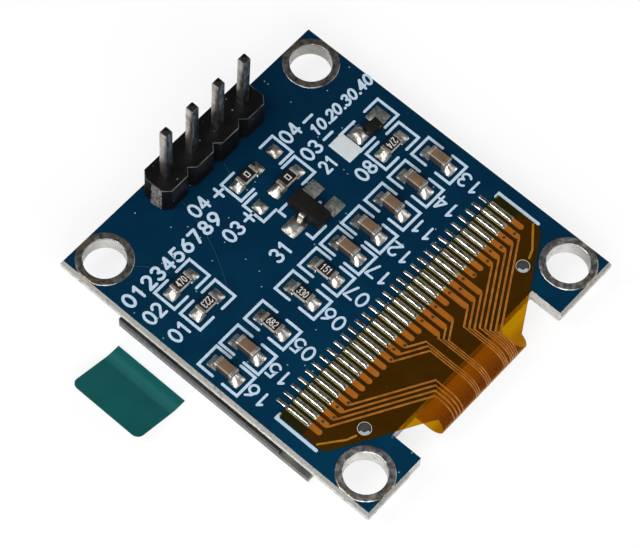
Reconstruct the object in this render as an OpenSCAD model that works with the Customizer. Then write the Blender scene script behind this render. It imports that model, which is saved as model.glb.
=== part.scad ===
// Small OLED display module, lying on its display face.
// X runs across the board, Y from the ribbon edge to the header edge, Z out of the
// component side. The origin is the middle of the four mounting holes, on the
// board's display-side face.

/* [Board] */
// Width of the board between its scored sides
board_w = 24.7; // [23.5:0.1:27]
// Length of the board from its ribbon edge to its header edge
board_l = 27; // [25.5:0.1:30]
// Thickness of the board
board_t = 1.2; // [0.8:0.1:2]
// Width of the notch that the ribbon folds through
notch_w = 14.3; // [12:0.1:15]
// Depth of the notch
notch_d = 2.45; // [2:0.05:3]
// How far the snapped web of a scored side stands out
score_lip = 0.15; // [0.05:0.01:0.3]
// Thickness of the snapped web
score_web = 0.4; // [0.2:0.05:0.6]
// Length of the web that broke away beside the notch
web_missing = 1.25; // [0.5:0.05:2]

/* [Mounting holes] */
// Diameter of the plated holes
hole_d = 3; // [2:0.1:3.2]
// Distance of each hole's centre from the two edges beside it
hole_inset = 1.95; // [1.8:0.05:2.3]
// Width of the bare ring round each hole
ring_w = 0.52; // [0.3:0.02:0.8]
// Thickness of the plating
plating_t = 0.04; // [0.02:0.01:0.08]

/* [Pin header] */
// Distance between neighbouring pins
pin_pitch = 2.54; // [2:0.01:3]
// Width of a square pin
pin_w = 0.64; // [0.5:0.01:0.8]
// Length of a pin above the housing
pin_above = 5.8; // [3:0.1:9]
// Length of a pin below the board
pin_below = 1.8; // [1.3:0.05:1.85]
// Length of the bevel at each end of a pin
pin_bevel = 0.45; // [0.2:0.05:0.6]
// Width of a pin at its very end
pin_tip_w = 0.3; // [0.2:0.02:0.4]
// Distance of the pin row from the header edge
header_inset = 1.45; // [1.3:0.05:2]
// Width of the housing across the pin row
housing_w = 2.5; // [2:0.1:3]
// Height of the housing
housing_h = 2.54; // [1.5:0.01:4]
// Chamfer on the corners of each housing segment
housing_chamfer = 0.47; // [0.2:0.01:0.6]
// Thickness of the scar where the housing was snapped off its strip
scar_t = 0.1; // [0.05:0.01:0.2]
// Clearance of a pin's corners in its hole
pin_clearance = 0.05; // [0.03:0.01:0.1]
// Height of the solder cones below the board
cone_h = 1.1; // [0.8:0.05:1.2]
// Width of the solder cone's foot beyond the hole
cone_foot = 0.45; // [0.3:0.05:0.6]

/* [Chip parts] */
// Length of a chip resistor or capacitor
chip_l = 1.6; // [1.4:0.05:1.9]
// Width of a chip
chip_w = 0.8; // [0.6:0.05:0.95]
// Height of a chip resistor
resistor_h = 0.45; // [0.3:0.05:0.6]
// Height of a chip capacitor
capacitor_h = 0.8; // [0.5:0.05:1]
// Length of the metal cap on each end of a chip
end_cap_l = 0.3; // [0.2:0.02:0.4]
// Thickness of the end caps and of a resistor's glaze
end_cap_t = 0.025; // [0.01:0.005:0.04]
// Length of a solder pad
pad_l = 0.87; // [0.75:0.01:1]
// Width of a solder pad
pad_w = 1; // [0.8:0.05:1.1]
// Gap between the two pads of a chip
pad_gap = 1; // [0.8:0.05:1.1]
// Thickness of the solder under a part
solder_t = 0.05; // [0.03:0.01:0.08]
// Height that solder climbs up a chip's end
solder_climb = 0.5; // [0.2:0.05:0.7]
// Height of the solder on a bare pad
mound_h = 0.28; // [0.15:0.01:0.4]

/* [Diode] */
// Length of the diode's body
diode_l = 1.15; // [1:0.05:1.4]
// Width of the diode's body
diode_w = 0.85; // [0.6:0.05:1]
// Height of the diode's body
diode_h = 0.6; // [0.4:0.05:0.8]
// Width of the diode's leads
diode_lead_w = 0.32; // [0.2:0.02:0.5]
// Length and width of each of the diode's square pads
diode_pad = 1.28; // [1.1:0.02:1.4]
// Gap between the diode's pads
diode_pad_gap = 0.68; // [0.5:0.02:0.9]
// How far the diode sits off its pads' middle, towards the ribbon
diode_off = 0.4; // [0:0.05:0.4]
// Turn of the diode on its pads
diode_turn = -9; // [-12:1:12]

/* [Regulator] */
// Length of the regulator's body
regulator_l = 2.9; // [2.7:0.05:3.1]
// Width of the regulator's body
regulator_w = 1.3; // [1.1:0.05:1.5]
// Height of the regulator's body
regulator_h = 1; // [0.8:0.05:1.2]
// Distance between the two leads on one side
lead_pitch = 1.9; // [1.6:0.05:2.1]
// Width of a regulator lead
lead_w = 0.42; // [0.3:0.02:0.5]
// Reach of a lead from the side of the body
lead_reach = 0.55; // [0.45:0.01:0.65]
// Thickness of the leads
lead_t = 0.12; // [0.08:0.01:0.16]
// Length of the regulator's two small pads
regulator_pad_l = 1.3; // [1.1:0.02:1.4]
// Width of the regulator's two small pads
regulator_pad_w = 1.1; // [0.9:0.02:1.2]
// Distance of the small pads from its body
regulator_pad_gap = 0.2; // [0.05:0.01:0.25]
// Length of the regulator's single pad
single_pad_l = 1.6; // [1.3:0.05:1.7]
// Width of the regulator's single pad
single_pad_w = 1.25; // [1:0.05:1.4]

/* [Ribbon] */
// Thickness of the ribbon
ribbon_t = 0.1; // [0.06:0.01:0.15]
// Distance of the ribbon's soldered end from the board's ribbon edge
ribbon_reach = 8.78; // [8:0.02:9.5]
// Length of the ribbon's straight sides
side_l = 3.87; // [3.4:0.01:4.3]
// Slope of the ribbon's shoulders
shoulder_angle = 30; // [25:1:32]
// Radius of the ribbon's outer corners
shoulder_r = 1; // [0.5:0.05:1.4]
// Width of the ribbon's neck
neck_w = 8.5; // [7:0.1:10]
// Radius where the shoulders run into the neck
neck_r = 0.8; // [0.4:0.05:0.9]
// Distance of the start of the fold from the board's ribbon edge
fold_inset = 1.65; // [1.5:0.05:1.9]
// Diameter of the two alignment holes
peg_hole_d = 0.9; // [0.6:0.05:1.1]
// Distance of each alignment hole from the ribbon's middle
peg_hole_x = 8.1; // [7:0.05:8.5]
// Distance of the alignment holes from the ribbon's soldered end
peg_hole_y = 4.73; // [4.3:0.01:4.9]

/* [Ribbon contacts] */
// Distance between neighbouring contacts
contact_pitch = 0.71; // [0.62:0.01:0.76]
// Width of a contact
contact_w = 0.42; // [0.3:0.01:0.5]
// Length of a contact
contact_l = 1.96; // [1.6:0.02:2.2]
// Height that a contact stands out of the ribbon
contact_t = 0.03; // [0.02:0.005:0.05]
// Distance of the last contact from the ribbon's side
contact_margin = 0.855; // [0.6:0.005:1]
// Length of the solder that runs out past the ribbon's end
solder_run = 0.95; // [0.6:0.05:1.1]
// Width of that solder
solder_run_w = 0.3; // [0.2:0.01:0.4]
// Length of the wide copper behind each contact
stub_l = 0.95; // [0.7:0.05:1.2]
// Width of a trace
trace_w = 0.12; // [0.08:0.01:0.16]
// Height that the copper stands out under the ribbon's cover layer
trace_t = 0.015; // [0.01:0.005:0.03]

/* [Display] */
// How far the glass stands out past each side of the board
glass_proud = 0.02; // [-0.2:0.02:0.3]
// Distance of the glass from the board's ribbon edge and header edge
glass_inset = 5.05; // [4.4:0.05:5.5]
// Thickness of the front glass
front_t = 0.5; // [0.3:0.05:0.7]
// Thickness of the cover glass
cover_t = 0.55; // [0.45:0.05:0.7]
// Length of the ledge that the ribbon is bonded to
ledge_l = 2.55; // [2.3:0.05:3]
// Length of the ribbon's bond on the ledge
bond_l = 1; // [0.7:0.05:1.1]
// Thickness of the foam tape under the board
tape_t = 0.6; // [0.4:0.05:1]
// Distance of the tape from the edges of the cover glass
tape_margin = 1; // [0.5:0.1:2]
// Depth of the recess in the cover glass
recess_d = 0.25; // [0.2:0.01:0.3]
// Width of the cover glass's rim at the sides
rim_x = 1.3; // [1:0.05:1.6]
// Width of the cover glass's rim at the ends
rim_y = 1.55; // [1.2:0.05:1.8]
// Thickness of the drying sheet in the recess
drier_t = 0.12; // [0.08:0.01:0.15]
// Clearance of the drying sheet and the pixels from the rim
recess_clearance = 0.2; // [0.1:0.05:0.4]
// Thickness of the pixel layer
pixel_t = 0.02; // [0.01:0.005:0.04]
// Length of the driver chip
driver_l = 6.8; // [6:0.1:8]
// Width of the driver chip
driver_w = 0.9; // [0.7:0.05:1.1]
// Thickness of the driver chip
driver_t = 0.3; // [0.2:0.05:0.35]
// Thickness of the polariser
polariser_t = 0.2; // [0.1:0.05:0.3]
// Distance of the polariser from the edges of the cover glass
polariser_margin = 0.6; // [0.3:0.05:1]

/* [Protective film] */
// Thickness of the film
film_t = 0.05; // [0.03:0.01:0.1]
// Distance from the glass to the pull tab
tab_gap = 1.08; // [0.5:0.02:2]
// Length of the pull tab, seen from above
tab_l = 4.55; // [3.5:0.05:6]
// Width of the pull tab
tab_w = 6; // [4:0.1:8]
// Thickness of the pull tab
tab_t = 0.1; // [0.05:0.01:0.15]
// Place of the pull tab along the glass, from its middle
tab_y = 4.5; // [3:0.1:5]
// Length of the tab that lies on the film
tab_flat_l = 0.6; // [0.4:0.05:1]
// Inner radius of the bend that lifts the rest of the tab
tab_bend_r = 2; // [1:0.1:3]
// Slope of the lifted part
tab_rise = 19; // [5:1:25]
// Radius of the tab's outer corners
tab_corner_r = 0.55; // [0.3:0.05:1]

/* [Board print] */
// Thickness of the ink
ink_t = 0.02; // [0.01:0.005:0.03]
// Width of a printed line
line_w = 0.2; // [0.12:0.01:0.22]
// Distance of a printed bracket's line past the ends of the pads
bracket_end = 0.33; // [0.25:0.01:0.4]
// Distance of a printed bracket's line past the sides of the pads
bracket_side = 0.4; // [0.3:0.01:0.45]
// Gap between the two halves of a bracket
bracket_gap = 0.88; // [0.6:0.02:1.2]
// Length of the ink block at the diode's cathode end
cathode_block_l = 1.38; // [1:0.02:1.6]
// How far the whole print sits off to the right of the pads
print_shift = 0.08; // [-0.1:0.01:0.1]

/* [Hidden] */
$fn = 48;
pin_count = 4;
contact_count = 30;
holes = [for (x = [-1, 1], y = [-1, 1])
    [x * (board_w / 2 - hole_inset), y * (board_l / 2 - hole_inset)]];

// Places of the parts, as shares of the board's width and length, and their turns.
// Shares keep every part on a board of another size.
resistors = [
    [-0.338, 0.155, 0], [-0.339, 0.240, 0], [0.0955, 0.2426, 0], [0.026, 0.323, 0],
    [-0.265, 0, 90], [-0.142, 0, 90], [-0.0466, 0, 90], [0.3717, 0.1148, 0]];
capacitors = [
    [0.2267, 0, 90], [0.13, 0, 90], [0.4239, 0, 90], [0.3247, 0, 90],
    [-0.3644, 0, 90], [-0.4494, 0, 90], [0.0421, 0, 90]];
diode_place = [0.378, 0.198];
regulator_place = [0.0597, 0.1433];
// Resistors 3 and 4 each choose one of two settings, and leave the third pad bare
selector_spare = [[3, -1], [4, 1]];

// The display stack: its size, and its levels downwards from the board
glass_w = board_w + 2 * glass_proud;
glass_l = board_l - 2 * glass_inset;
cover_z = -tape_t - cover_t;
front_z = cover_z - front_t;
polariser_z = front_z - polariser_t;
film_z = polariser_z - film_t;
cover_l = glass_l - ledge_l;
cover_y = ledge_l / 2;

// The soldered side of the board
body_draft = 0.07;
pads_l = pad_gap + 2 * pad_l;
pad_step = pad_gap + pad_l;
part_z = board_t + solder_t;
edge_y = -board_l / 2;
pin_y = board_l / 2 - header_inset;
pin_hole_d = pin_w * sqrt(2) + 2 * pin_clearance;
housing_top = board_t + housing_h;

// The ribbon
ribbon_z = part_z;
ribbon_end = edge_y + ribbon_reach;
contact_span = (contact_count - 1) * contact_pitch;
ribbon_w = contact_span + 2 * contact_margin;
fold_y = edge_y + fold_inset;
fold_z = (ribbon_z + cover_z + ribbon_t) / 2;
fold_r = (ribbon_z - cover_z + ribbon_t) / 2;
shoulder_y = ribbon_end - side_l;
neck_y = shoulder_y - (ribbon_w - neck_w) / 2 * tan(shoulder_angle);
bond_y = -glass_l / 2 + bond_l;
trace_start = ribbon_end - contact_l - stub_l;
// Traces as groups: first contact, number, place of the first in the neck,
// distance between them there, and how far they run on before they slant
trace_groups = [
    [1, 4, -3.2, 0.3, 0], [10, 3, -0.92, 0.17, 0], [15, 3, 0.15, 0.17, 1],
    [19, 3, 1.95, 0.17, 1.1], [24, 5, 2.6, 0.17, 0.25]];

// The pull tab: the edge beside the glass, and the start of its bend
tab_z = polariser_z;
tab_start = -glass_w / 2 - tab_gap;
bend_x = tab_start - tab_flat_l;

// ---- helpers ----

// Puts a part at a place that is given as shares of the board
module at(place, z = part_z) {
    turn = len(place) > 2 ? place[2] : 0;
    translate([place[0] * board_w, place[1] * board_l, z]) rotate(turn) children();
}

// Extrudes a profile drawn in X and Z along Y, about the middle
module along_y(l) {
    rotate([90, 0, 0]) linear_extrude(l, center = true) children();
}

// Extrudes a profile drawn in Y and Z along X, about the middle
module along_x(l) {
    rotate([90, 0, 90]) linear_extrude(l, center = true) children();
}

// A block whose sides lean in from a plumb band, as moulded bodies do
module moulded_block(l, w, h, band_low, band_high, draft) {
    intersection() {
        along_y(w) moulded_profile(l, h, band_low, band_high, draft);
        along_x(l) moulded_profile(w, h, band_low, band_high, draft);
    }
}

module moulded_profile(w, h, band_low, band_high, draft) {
    low = band_low > 0 ? draft : 0;
    polygon([[low - w / 2, 0], [w / 2 - low, 0], [w / 2, band_low], [w / 2, band_high],
        [w / 2 - draft, h], [draft - w / 2, h], [-w / 2, band_high], [-w / 2, band_low]]);
}

// A pillow of solder on a pad that is l by w, up to h at its middle
module mound(l, w, h) {
    reach = norm([l, w]) / 2;
    r = (reach * reach + h * h) / (2 * h);
    intersection() {
        translate([0, 0, h / 2]) cube([l, w, h], center = true);
        translate([0, 0, h - r]) sphere(r, $fn = 64);
    }
}

// ---- board ----

// Section of the board: V-scored sides with the snapped web between the cuts
module scored_section(w) {
    low = (board_t - score_web) / 2;
    high = low + score_web;
    x = w / 2;
    polygon([[-x, 0], [x, 0], [x + score_lip, low], [x + score_lip, high],
        [x, board_t], [-x, board_t], [-x - score_lip, high], [-x - score_lip, low]]);
}

module circuit_board() {
    color("midnightblue") difference() {
        intersection() {
            along_y(board_l + 2 * score_lip) scored_section(board_w);
            along_x(board_w + 2 * score_lip) scored_section(board_l);
        }
        translate([-notch_w / 2, edge_y - 1, -1])
            cube([notch_w, notch_d + 1, board_t + 2]);
        translate([-notch_w / 2 - web_missing, edge_y - 1, -1])
            cube([notch_w, 1, board_t + 2]);
        for (p = holes) translate([p[0], p[1], -1])
            cylinder(d = hole_d + 2 * plating_t, h = board_t + 2);
        for (k = [1:pin_count]) translate([pin_x(k), pin_y, -1])
            cylinder(d = pin_hole_d, h = board_t + 2);
    }
}

// Barrel and two bare rings of each mounting hole, cut off by the board's edges
module hole_plating() {
    color("dimgray") for (p = holes) difference() {
        union() {
            translate([p[0], p[1], -plating_t])
                cylinder(d = hole_d + 2 * plating_t, h = board_t + 2 * plating_t);
            for (z = [-plating_t, board_t]) translate([0, 0, z])
                linear_extrude(plating_t) intersection() {
                    translate(p) circle(d = hole_d + 2 * ring_w);
                    square([board_w, board_l], center = true);
                }
        }
        translate([p[0], p[1], -1]) cylinder(d = hole_d, h = board_t + 2);
    }
}

// ---- pin header ----

function pin_x(k) = (k - (pin_count + 1) / 2) * pin_pitch;

module pin_profile() {
    low = -pin_below;
    high = housing_top + pin_above;
    w = pin_w / 2;
    tip = pin_tip_w / 2;
    polygon([[-tip, low], [tip, low], [w, low + pin_bevel], [w, high - pin_bevel],
        [tip, high], [-tip, high], [-w, high - pin_bevel], [-w, low + pin_bevel]]);
}

module header_pin(k) {
    color("silver") translate([pin_x(k), pin_y, 0]) intersection() {
        along_y(pin_w) pin_profile();
        along_x(pin_w) pin_profile();
    }
}

module housing_segment() {
    x = pin_pitch / 2;
    y = housing_w / 2;
    c = housing_chamfer;
    polygon([[c - x, -y], [x - c, -y], [x, c - y], [x, y - c],
        [x - c, y], [c - x, y], [-x, y - c], [-x, c - y]]);
}

module header_housing() {
    color("black") translate([0, pin_y, board_t]) {
        linear_extrude(housing_h) difference() {
            for (k = [1:pin_count]) translate([pin_x(k), 0]) housing_segment();
            for (k = [1:pin_count]) translate([pin_x(k), 0]) square(pin_w, center = true);
        }
        scar_w = housing_w - 2 * housing_chamfer;
        translate([pin_x(1) - pin_pitch / 2 - scar_t, -scar_w / 2, 0])
            cube([scar_t, scar_w, housing_h]);
    }
}

// A hollow-sided cone below the board and the filled hole above it
module header_joint() {
    neck = pin_hole_d / 2;
    r = (cone_foot * cone_foot + cone_h * cone_h) / (2 * cone_foot);
    rotate_extrude() difference() {
        union() {
            square([neck, board_t]);
            translate([0, -cone_h]) square([neck + cone_foot, cone_h]);
        }
        translate([neck + r, -cone_h]) circle(r, $fn = 96);
    }
}

module header_solder() {
    color("lightgray") for (k = [1:pin_count]) difference() {
        translate([pin_x(k), pin_y, 0]) header_joint();
        header_pin(k);
    }
}

// ---- chip parts ----

// Chip with a metal cap on each end; the length is along X and the foot at z = 0
module chip(h) {
    body_h = h - 2 * end_cap_t;
    body_l = chip_l - 2 * end_cap_l;
    translate([0, 0, h / 2]) {
        cube([body_l, chip_w - 2 * end_cap_t, body_h], center = true);
        for (s = [-1, 1]) translate([s * (chip_l - end_cap_l) / 2, 0, 0])
            cube([end_cap_l, chip_w, h], center = true);
    }
}

module resistor(k) {
    glaze_l = chip_l - 2 * end_cap_l;
    color("black") at(resistors[k - 1]) {
        chip(resistor_h);
        translate([-glaze_l / 2, end_cap_t - chip_w / 2, resistor_h - end_cap_t])
            cube([glaze_l, chip_w - 2 * end_cap_t, end_cap_t]);
    }
}

module capacitor(k) {
    color("sienna") at(capacitors[k - 1]) chip(capacitor_h);
}

// The solder at both ends of a chip: a thin bed under it and a hollow slope up its end
module chip_solder(h) {
    climb = min(solder_climb, 0.85 * h) + solder_t;
    run = (pads_l - chip_l) / 2;
    rim = 2 * solder_t;
    top_w = 0.12;
    r = 1.2 * norm([run, climb]);
    chord = [run - top_w, rim - climb];
    sag = sqrt(r * r - norm(chord) * norm(chord) / 4);
    centre = [top_w, climb] + chord / 2 + [-chord[1], chord[0]] / norm(chord) * sag;
    for (s = [0, 180]) rotate(s) {
        translate([pad_gap / 2, -pad_w / 2, -solder_t]) cube([pad_l, pad_w, solder_t]);
        translate([chip_l / 2, 0, -solder_t]) along_y(pad_w) difference() {
            square([run, climb]);
            translate(centre) circle(r, $fn = 96);
        }
    }
}

module resistor_solder(k) {
    color("lightgray") at(resistors[k - 1]) chip_solder(resistor_h);
}

module capacitor_solder(k) {
    color("lightgray") at(capacitors[k - 1]) chip_solder(capacitor_h);
}

// The third pad of each selector, beside the chosen two
module bare_pad_solder() {
    color("lightgray") for (s = selector_spare)
        at(resistors[s[0] - 1], board_t) translate([s[1] * 1.5 * pad_step, 0, 0])
            mound(pad_l, pad_w, mound_h);
}

// ---- diode ----

// Puts children at the diode's own middle, off its pads' middle and askew
module on_diode() {
    translate([0, -diode_off, 0]) rotate(diode_turn) children();
}

module diode_body() {
    color("black") at(diode_place) on_diode()
        moulded_block(diode_l, diode_w, diode_h, 0, lead_t, body_draft);
}

module lead_pair() {
    lead_l = (diode_pad_gap + diode_pad - diode_l) / 2;
    for (s = [0, 180]) rotate(s) translate([diode_l / 2, -diode_lead_w / 2, 0])
        cube([lead_l, diode_lead_w, lead_t]);
}

module diode_leads() {
    color("silver") at(diode_place) on_diode() lead_pair();
}

module diode_solder() {
    color("lightgray") at(diode_place, board_t) difference() {
        for (s = [0, 180]) rotate(s) translate([(diode_pad_gap + diode_pad) / 2, 0, 0])
            mound(diode_pad, diode_pad, mound_h);
        translate([0, 0, solder_t]) on_diode() {
            lead_pair();
            translate([-diode_l / 2, -diode_w / 2, 0]) cube([diode_l, diode_w, diode_h]);
        }
    }
}

// ---- regulator ----

// Lead profile from the body's side: out, down and out again along the pad
module gull_wing() {
    knee = lead_reach * 0.3;
    heel = lead_reach * 0.5;
    top = regulator_h / 2 + lead_t / 2;
    polygon([[0, top], [knee, top], [heel + lead_t, lead_t], [lead_reach, lead_t],
        [lead_reach, 0], [heel, 0], [knee - lead_t / 2, top - lead_t], [0, top - lead_t]]);
}

// Children at the three lead places: one on the left, two on the right
module at_leads() {
    rotate(180) children();
    for (y = [-1, 1]) translate([0, y * lead_pitch / 2, 0]) children();
}

module regulator_body() {
    low = regulator_h / 2 - lead_t / 2;
    color("black") at(regulator_place) translate([0, 0, solder_t])
        moulded_block(regulator_w, regulator_l, regulator_h - solder_t,
            low - solder_t, low + lead_t - solder_t, body_draft);
}

module leads_only() {
    at_leads() translate([regulator_w / 2, 0, 0]) along_y(lead_w) gull_wing();
}

module regulator_leads() {
    color("silver") at(regulator_place) leads_only();
}

module regulator_solder() {
    side = regulator_w / 2;
    color("lightgray") at(regulator_place, board_t) difference() {
        union() {
            translate([-side - single_pad_l / 2, 0, 0])
                mound(single_pad_l, single_pad_w, mound_h);
            x = side + regulator_pad_gap + regulator_pad_l / 2;
            for (y = [-1, 1]) translate([x, y * lead_pitch / 2, 0])
                mound(regulator_pad_l, regulator_pad_w, mound_h);
        }
        translate([0, 0, solder_t]) leads_only();
    }
}

// ---- ribbon ----

function contact_x(k) = (k - (contact_count - 1) / 2) * contact_pitch;

// Right half of the ribbon, seen from above, with round corners
module half_ribbon_outline() {
    x = ribbon_w / 2;
    n = neck_w / 2;
    half_turn = (90 - shoulder_angle) / 2;
    outer = shoulder_r * tan(half_turn);
    inner = neck_r * tan(half_turn);
    slope = [-cos(shoulder_angle), -sin(shoulder_angle)];
    outer_end = [x, shoulder_y] + outer * slope;
    inner_start = [n, neck_y] - inner * slope;
    low = fold_y - fold_r - 1;
    polygon([[0, ribbon_end], [x, ribbon_end], [x, shoulder_y + outer], outer_end,
        inner_start, [n, neck_y], [n, low], [0, low]]);
    translate([x - shoulder_r, shoulder_y + outer]) circle(shoulder_r);
    difference() {
        polygon([[n, neck_y], inner_start, [n + neck_r, neck_y - inner],
            [n, neck_y - inner]]);
        translate([n + neck_r, neck_y - inner]) circle(neck_r);
    }
}

module ribbon_outline() {
    difference() {
        for (s = [0, 1]) mirror([s, 0]) half_ribbon_outline();
        for (s = [-1, 1]) translate([s * peg_hole_x, ribbon_end - peg_hole_y])
            circle(d = peg_hole_d);
    }
}

// Half tube of the fold, from radius inner to radius outer
module fold_tube(inner, outer, w) {
    translate([0, fold_y, fold_z]) difference() {
        rotate([0, 90, 0]) cylinder(r = outer, h = w, center = true);
        rotate([0, 90, 0]) cylinder(r = inner, h = w + 1, center = true);
        translate([-w / 2 - 1, 0, -outer - 1]) cube([w + 2, outer + 1, 2 * outer + 2]);
    }
}

module ribbon() {
    flap_l = bond_y - fold_y;
    color("saddlebrown") {
        translate([0, 0, ribbon_z]) linear_extrude(ribbon_t) intersection() {
            ribbon_outline();
            translate([-ribbon_w / 2, fold_y]) square([ribbon_w, ribbon_reach]);
        }
        intersection() {
            fold_tube(fold_r - ribbon_t, fold_r, ribbon_w);
            translate([0, 0, fold_z]) linear_extrude(fold_r + 1) ribbon_outline();
        }
        intersection() {
            fold_tube(fold_r - ribbon_t, fold_r, neck_w);
            translate([-neck_w / 2, fold_y - fold_r - 1, fold_z - fold_r - 1])
                cube([neck_w, fold_r + 2, fold_r + 1]);
        }
        translate([-neck_w / 2, fold_y, cover_z]) cube([neck_w, flap_l, ribbon_t]);
    }
}

module ribbon_contacts() {
    color("darkorange") for (k = [0:contact_count - 1])
        translate([contact_x(k) - contact_w / 2, ribbon_end - contact_l, ribbon_z + ribbon_t])
            cube([contact_w, contact_l, contact_t]);
}

// Solder between the board and each contact, running out past the ribbon's end
module ribbon_solder() {
    top = ribbon_t / 2;
    color("lightgray") for (k = [0:contact_count - 1])
        translate([contact_x(k), ribbon_end, board_t]) {
            translate([-contact_w / 2, -contact_l, 0])
                cube([contact_w, contact_l, solder_t]);
            along_x(solder_run_w)
                polygon([[0, 0], [solder_run, 0], [solder_run, solder_t / 2],
                    [solder_run / 3, solder_t], [0, solder_t + top]]);
        }
}

// A straight run of copper from a to b
module track(a, b) {
    d = b - a;
    translate(a) rotate(atan2(d[1], d[0])) translate([0, -trace_w / 2])
        square([norm(d), trace_w]);
    translate(b) circle(d = trace_w);
}

// Copper of one trace: down from its contact, a slant to its place in the neck, down
module trace(pad_x, neck_x, run_on) {
    a = [pad_x, trace_start];
    b = a - [0, run_on];
    c = [neck_x, b[1] - abs(neck_x - pad_x) * tan(shoulder_angle)];
    translate(a) circle(d = trace_w);
    if (run_on > 0) track(a, b);
    track(b, c);
    track(c, [neck_x, fold_y]);
}

module ribbon_traces() {
    top = ribbon_z + ribbon_t;
    color("peru") {
        translate([0, 0, top]) linear_extrude(trace_t) intersection() {
            union() {
                for (k = [0:contact_count - 1]) translate([contact_x(k), trace_start]) {
                    translate([-contact_w / 2, 0]) square([contact_w, stub_l]);
                    circle(d = contact_w);
                }
                for (g = trace_groups, k = [0:g[1] - 1])
                    trace(contact_x(g[0] + k), g[2] + k * g[3], g[4]);
            }
            translate([-ribbon_w / 2, fold_y]) square([ribbon_w, ribbon_reach]);
        }
        for (g = trace_groups, k = [0:g[1] - 1])
            translate([g[2] + k * g[3], 0, 0]) fold_tube(fold_r, fold_r + trace_t, trace_w);
    }
}

// ---- board print ----

// Two facing brackets whose lines are centred on a box that is l by w
module brackets(l, w, gap) {
    difference() {
        square([l + line_w, w + line_w], center = true);
        square([l - line_w, w - line_w], center = true);
        square([gap, w + 2 * line_w], center = true);
    }
}

module printed_line(a, b) {
    d = b - a;
    translate(a) rotate(atan2(d[1], d[0])) translate([-line_w / 2, -line_w / 2])
        square([norm(d) + line_w, line_w]);
}

module chip_brackets() {
    brackets(pads_l + 2 * bracket_end, pad_w + 2 * bracket_side, bracket_gap);
}

module selector_brackets(side) {
    l = 3 * pad_l + 2 * pad_gap + 2 * bracket_end;
    translate([side * pad_step / 2, 0])
        brackets(l, pad_w + 2 * bracket_side, pad_gap + pad_l + bracket_gap);
}

module diode_print() {
    l = 2 * diode_pad + diode_pad_gap + 2 * bracket_end;
    w = diode_pad + 2 * bracket_end;
    brackets(l, w, bracket_gap + line_w);
    translate([-l / 2 - cathode_block_l, -w / 2 - line_w / 2])
        square([cathode_block_l, w + line_w]);
}

// Two corner marks on the regulator's left and a dot between its two small pads
module regulator_print() {
    x = -regulator_w;
    y = regulator_l / 2 + line_w / 2;
    for (s = [-1, 1]) printed_line([x, s * y], [x, s * (y - 0.2 * regulator_l)]);
    printed_line([x, y], [x / 3, y]);
    printed_line([x, -y], [0, -y]);
    translate([regulator_w / 2 + lead_reach, 0]) circle(d = line_w);
}

// Outline of the ribbon's seat, partly hidden below the ribbon
module ribbon_print() {
    x = ribbon_w / 2 + line_w;
    y = ribbon_end - side_l + bracket_end;
    for (s = [0, 1]) mirror([s, 0]) {
        printed_line([x - bracket_side, ribbon_end], [x, ribbon_end]);
        printed_line([x, ribbon_end], [x, y]);
        printed_line([x, y], [peg_hole_x, ribbon_end - peg_hole_y]);
        printed_line([peg_hole_x, ribbon_end - peg_hole_y], [0, ribbon_end - peg_hole_y]);
    }
}

module board_print() {
    color("lavender") translate([print_shift, 0, 0]) {
        for (k = [1, 2, 5, 6, 7, 8]) at(resistors[k - 1], board_t)
            linear_extrude(ink_t) chip_brackets();
        for (s = selector_spare) at(resistors[s[0] - 1], board_t)
            linear_extrude(ink_t) selector_brackets(s[1]);
        for (c = capacitors) at(c, board_t) linear_extrude(ink_t) chip_brackets();
        at(diode_place, board_t) linear_extrude(ink_t) diode_print();
        at(regulator_place, board_t) linear_extrude(ink_t) regulator_print();
    }
    color("lavender") translate([0, 0, board_t]) linear_extrude(ink_t) ribbon_print();
}

// ---- display ----

// A sheet over the cover glass's area, held back from its edges
module cover_area(margin_x, margin_y, z, t) {
    translate([0, cover_y, z + t / 2])
        cube([glass_w - 2 * margin_x, cover_l - 2 * margin_y, t], center = true);
}

module foam_tape() {
    color("whitesmoke") cover_area(tape_margin, tape_margin, -tape_t, tape_t);
}

module cover_glass() {
    color("lightcyan") difference() {
        cover_area(0, 0, cover_z, cover_t);
        cover_area(rim_x, rim_y, cover_z - recess_d, 2 * recess_d);
    }
}

module drying_sheet() {
    color("white") cover_area(rim_x + recess_clearance, rim_y + recess_clearance,
        cover_z + recess_d - drier_t, drier_t);
}

module pixel_layer() {
    color("darkslategray") cover_area(rim_x + recess_clearance, rim_y + recess_clearance,
        cover_z, pixel_t);
}

module front_glass() {
    color("lightcyan") translate([0, 0, front_z + front_t / 2])
        cube([glass_w, glass_l, front_t], center = true);
}

module driver_chip() {
    y = (bond_y + cover_y - cover_l / 2) / 2;
    color("gray") translate([0, y, cover_z + driver_t / 2])
        cube([driver_l, driver_w, driver_t], center = true);
}

module polariser() {
    color("dimgray") cover_area(polariser_margin, polariser_margin,
        polariser_z, polariser_t);
}

// ---- protective film ----

module protective_film() {
    inner_x = polariser_margin - glass_w / 2;
    color("aliceblue") {
        cover_area(polariser_margin, polariser_margin, film_z, film_t);
        translate([bend_x, tab_y - tab_w / 2, film_z])
            cube([inner_x - bend_x, tab_w, film_t]);
    }
}

// Outline of the pull tab from above, with round outer corners
module tab_outline() {
    far = tab_start - tab_l;
    y = tab_w / 2 - tab_corner_r;
    translate([0, tab_y]) {
        translate([far + tab_corner_r, -tab_w / 2]) square([tab_l - tab_corner_r, tab_w]);
        translate([far, -y]) square([tab_l, 2 * y]);
        for (s = [-1, 1]) translate([far + tab_corner_r, s * y]) circle(tab_corner_r);
    }
}

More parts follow.
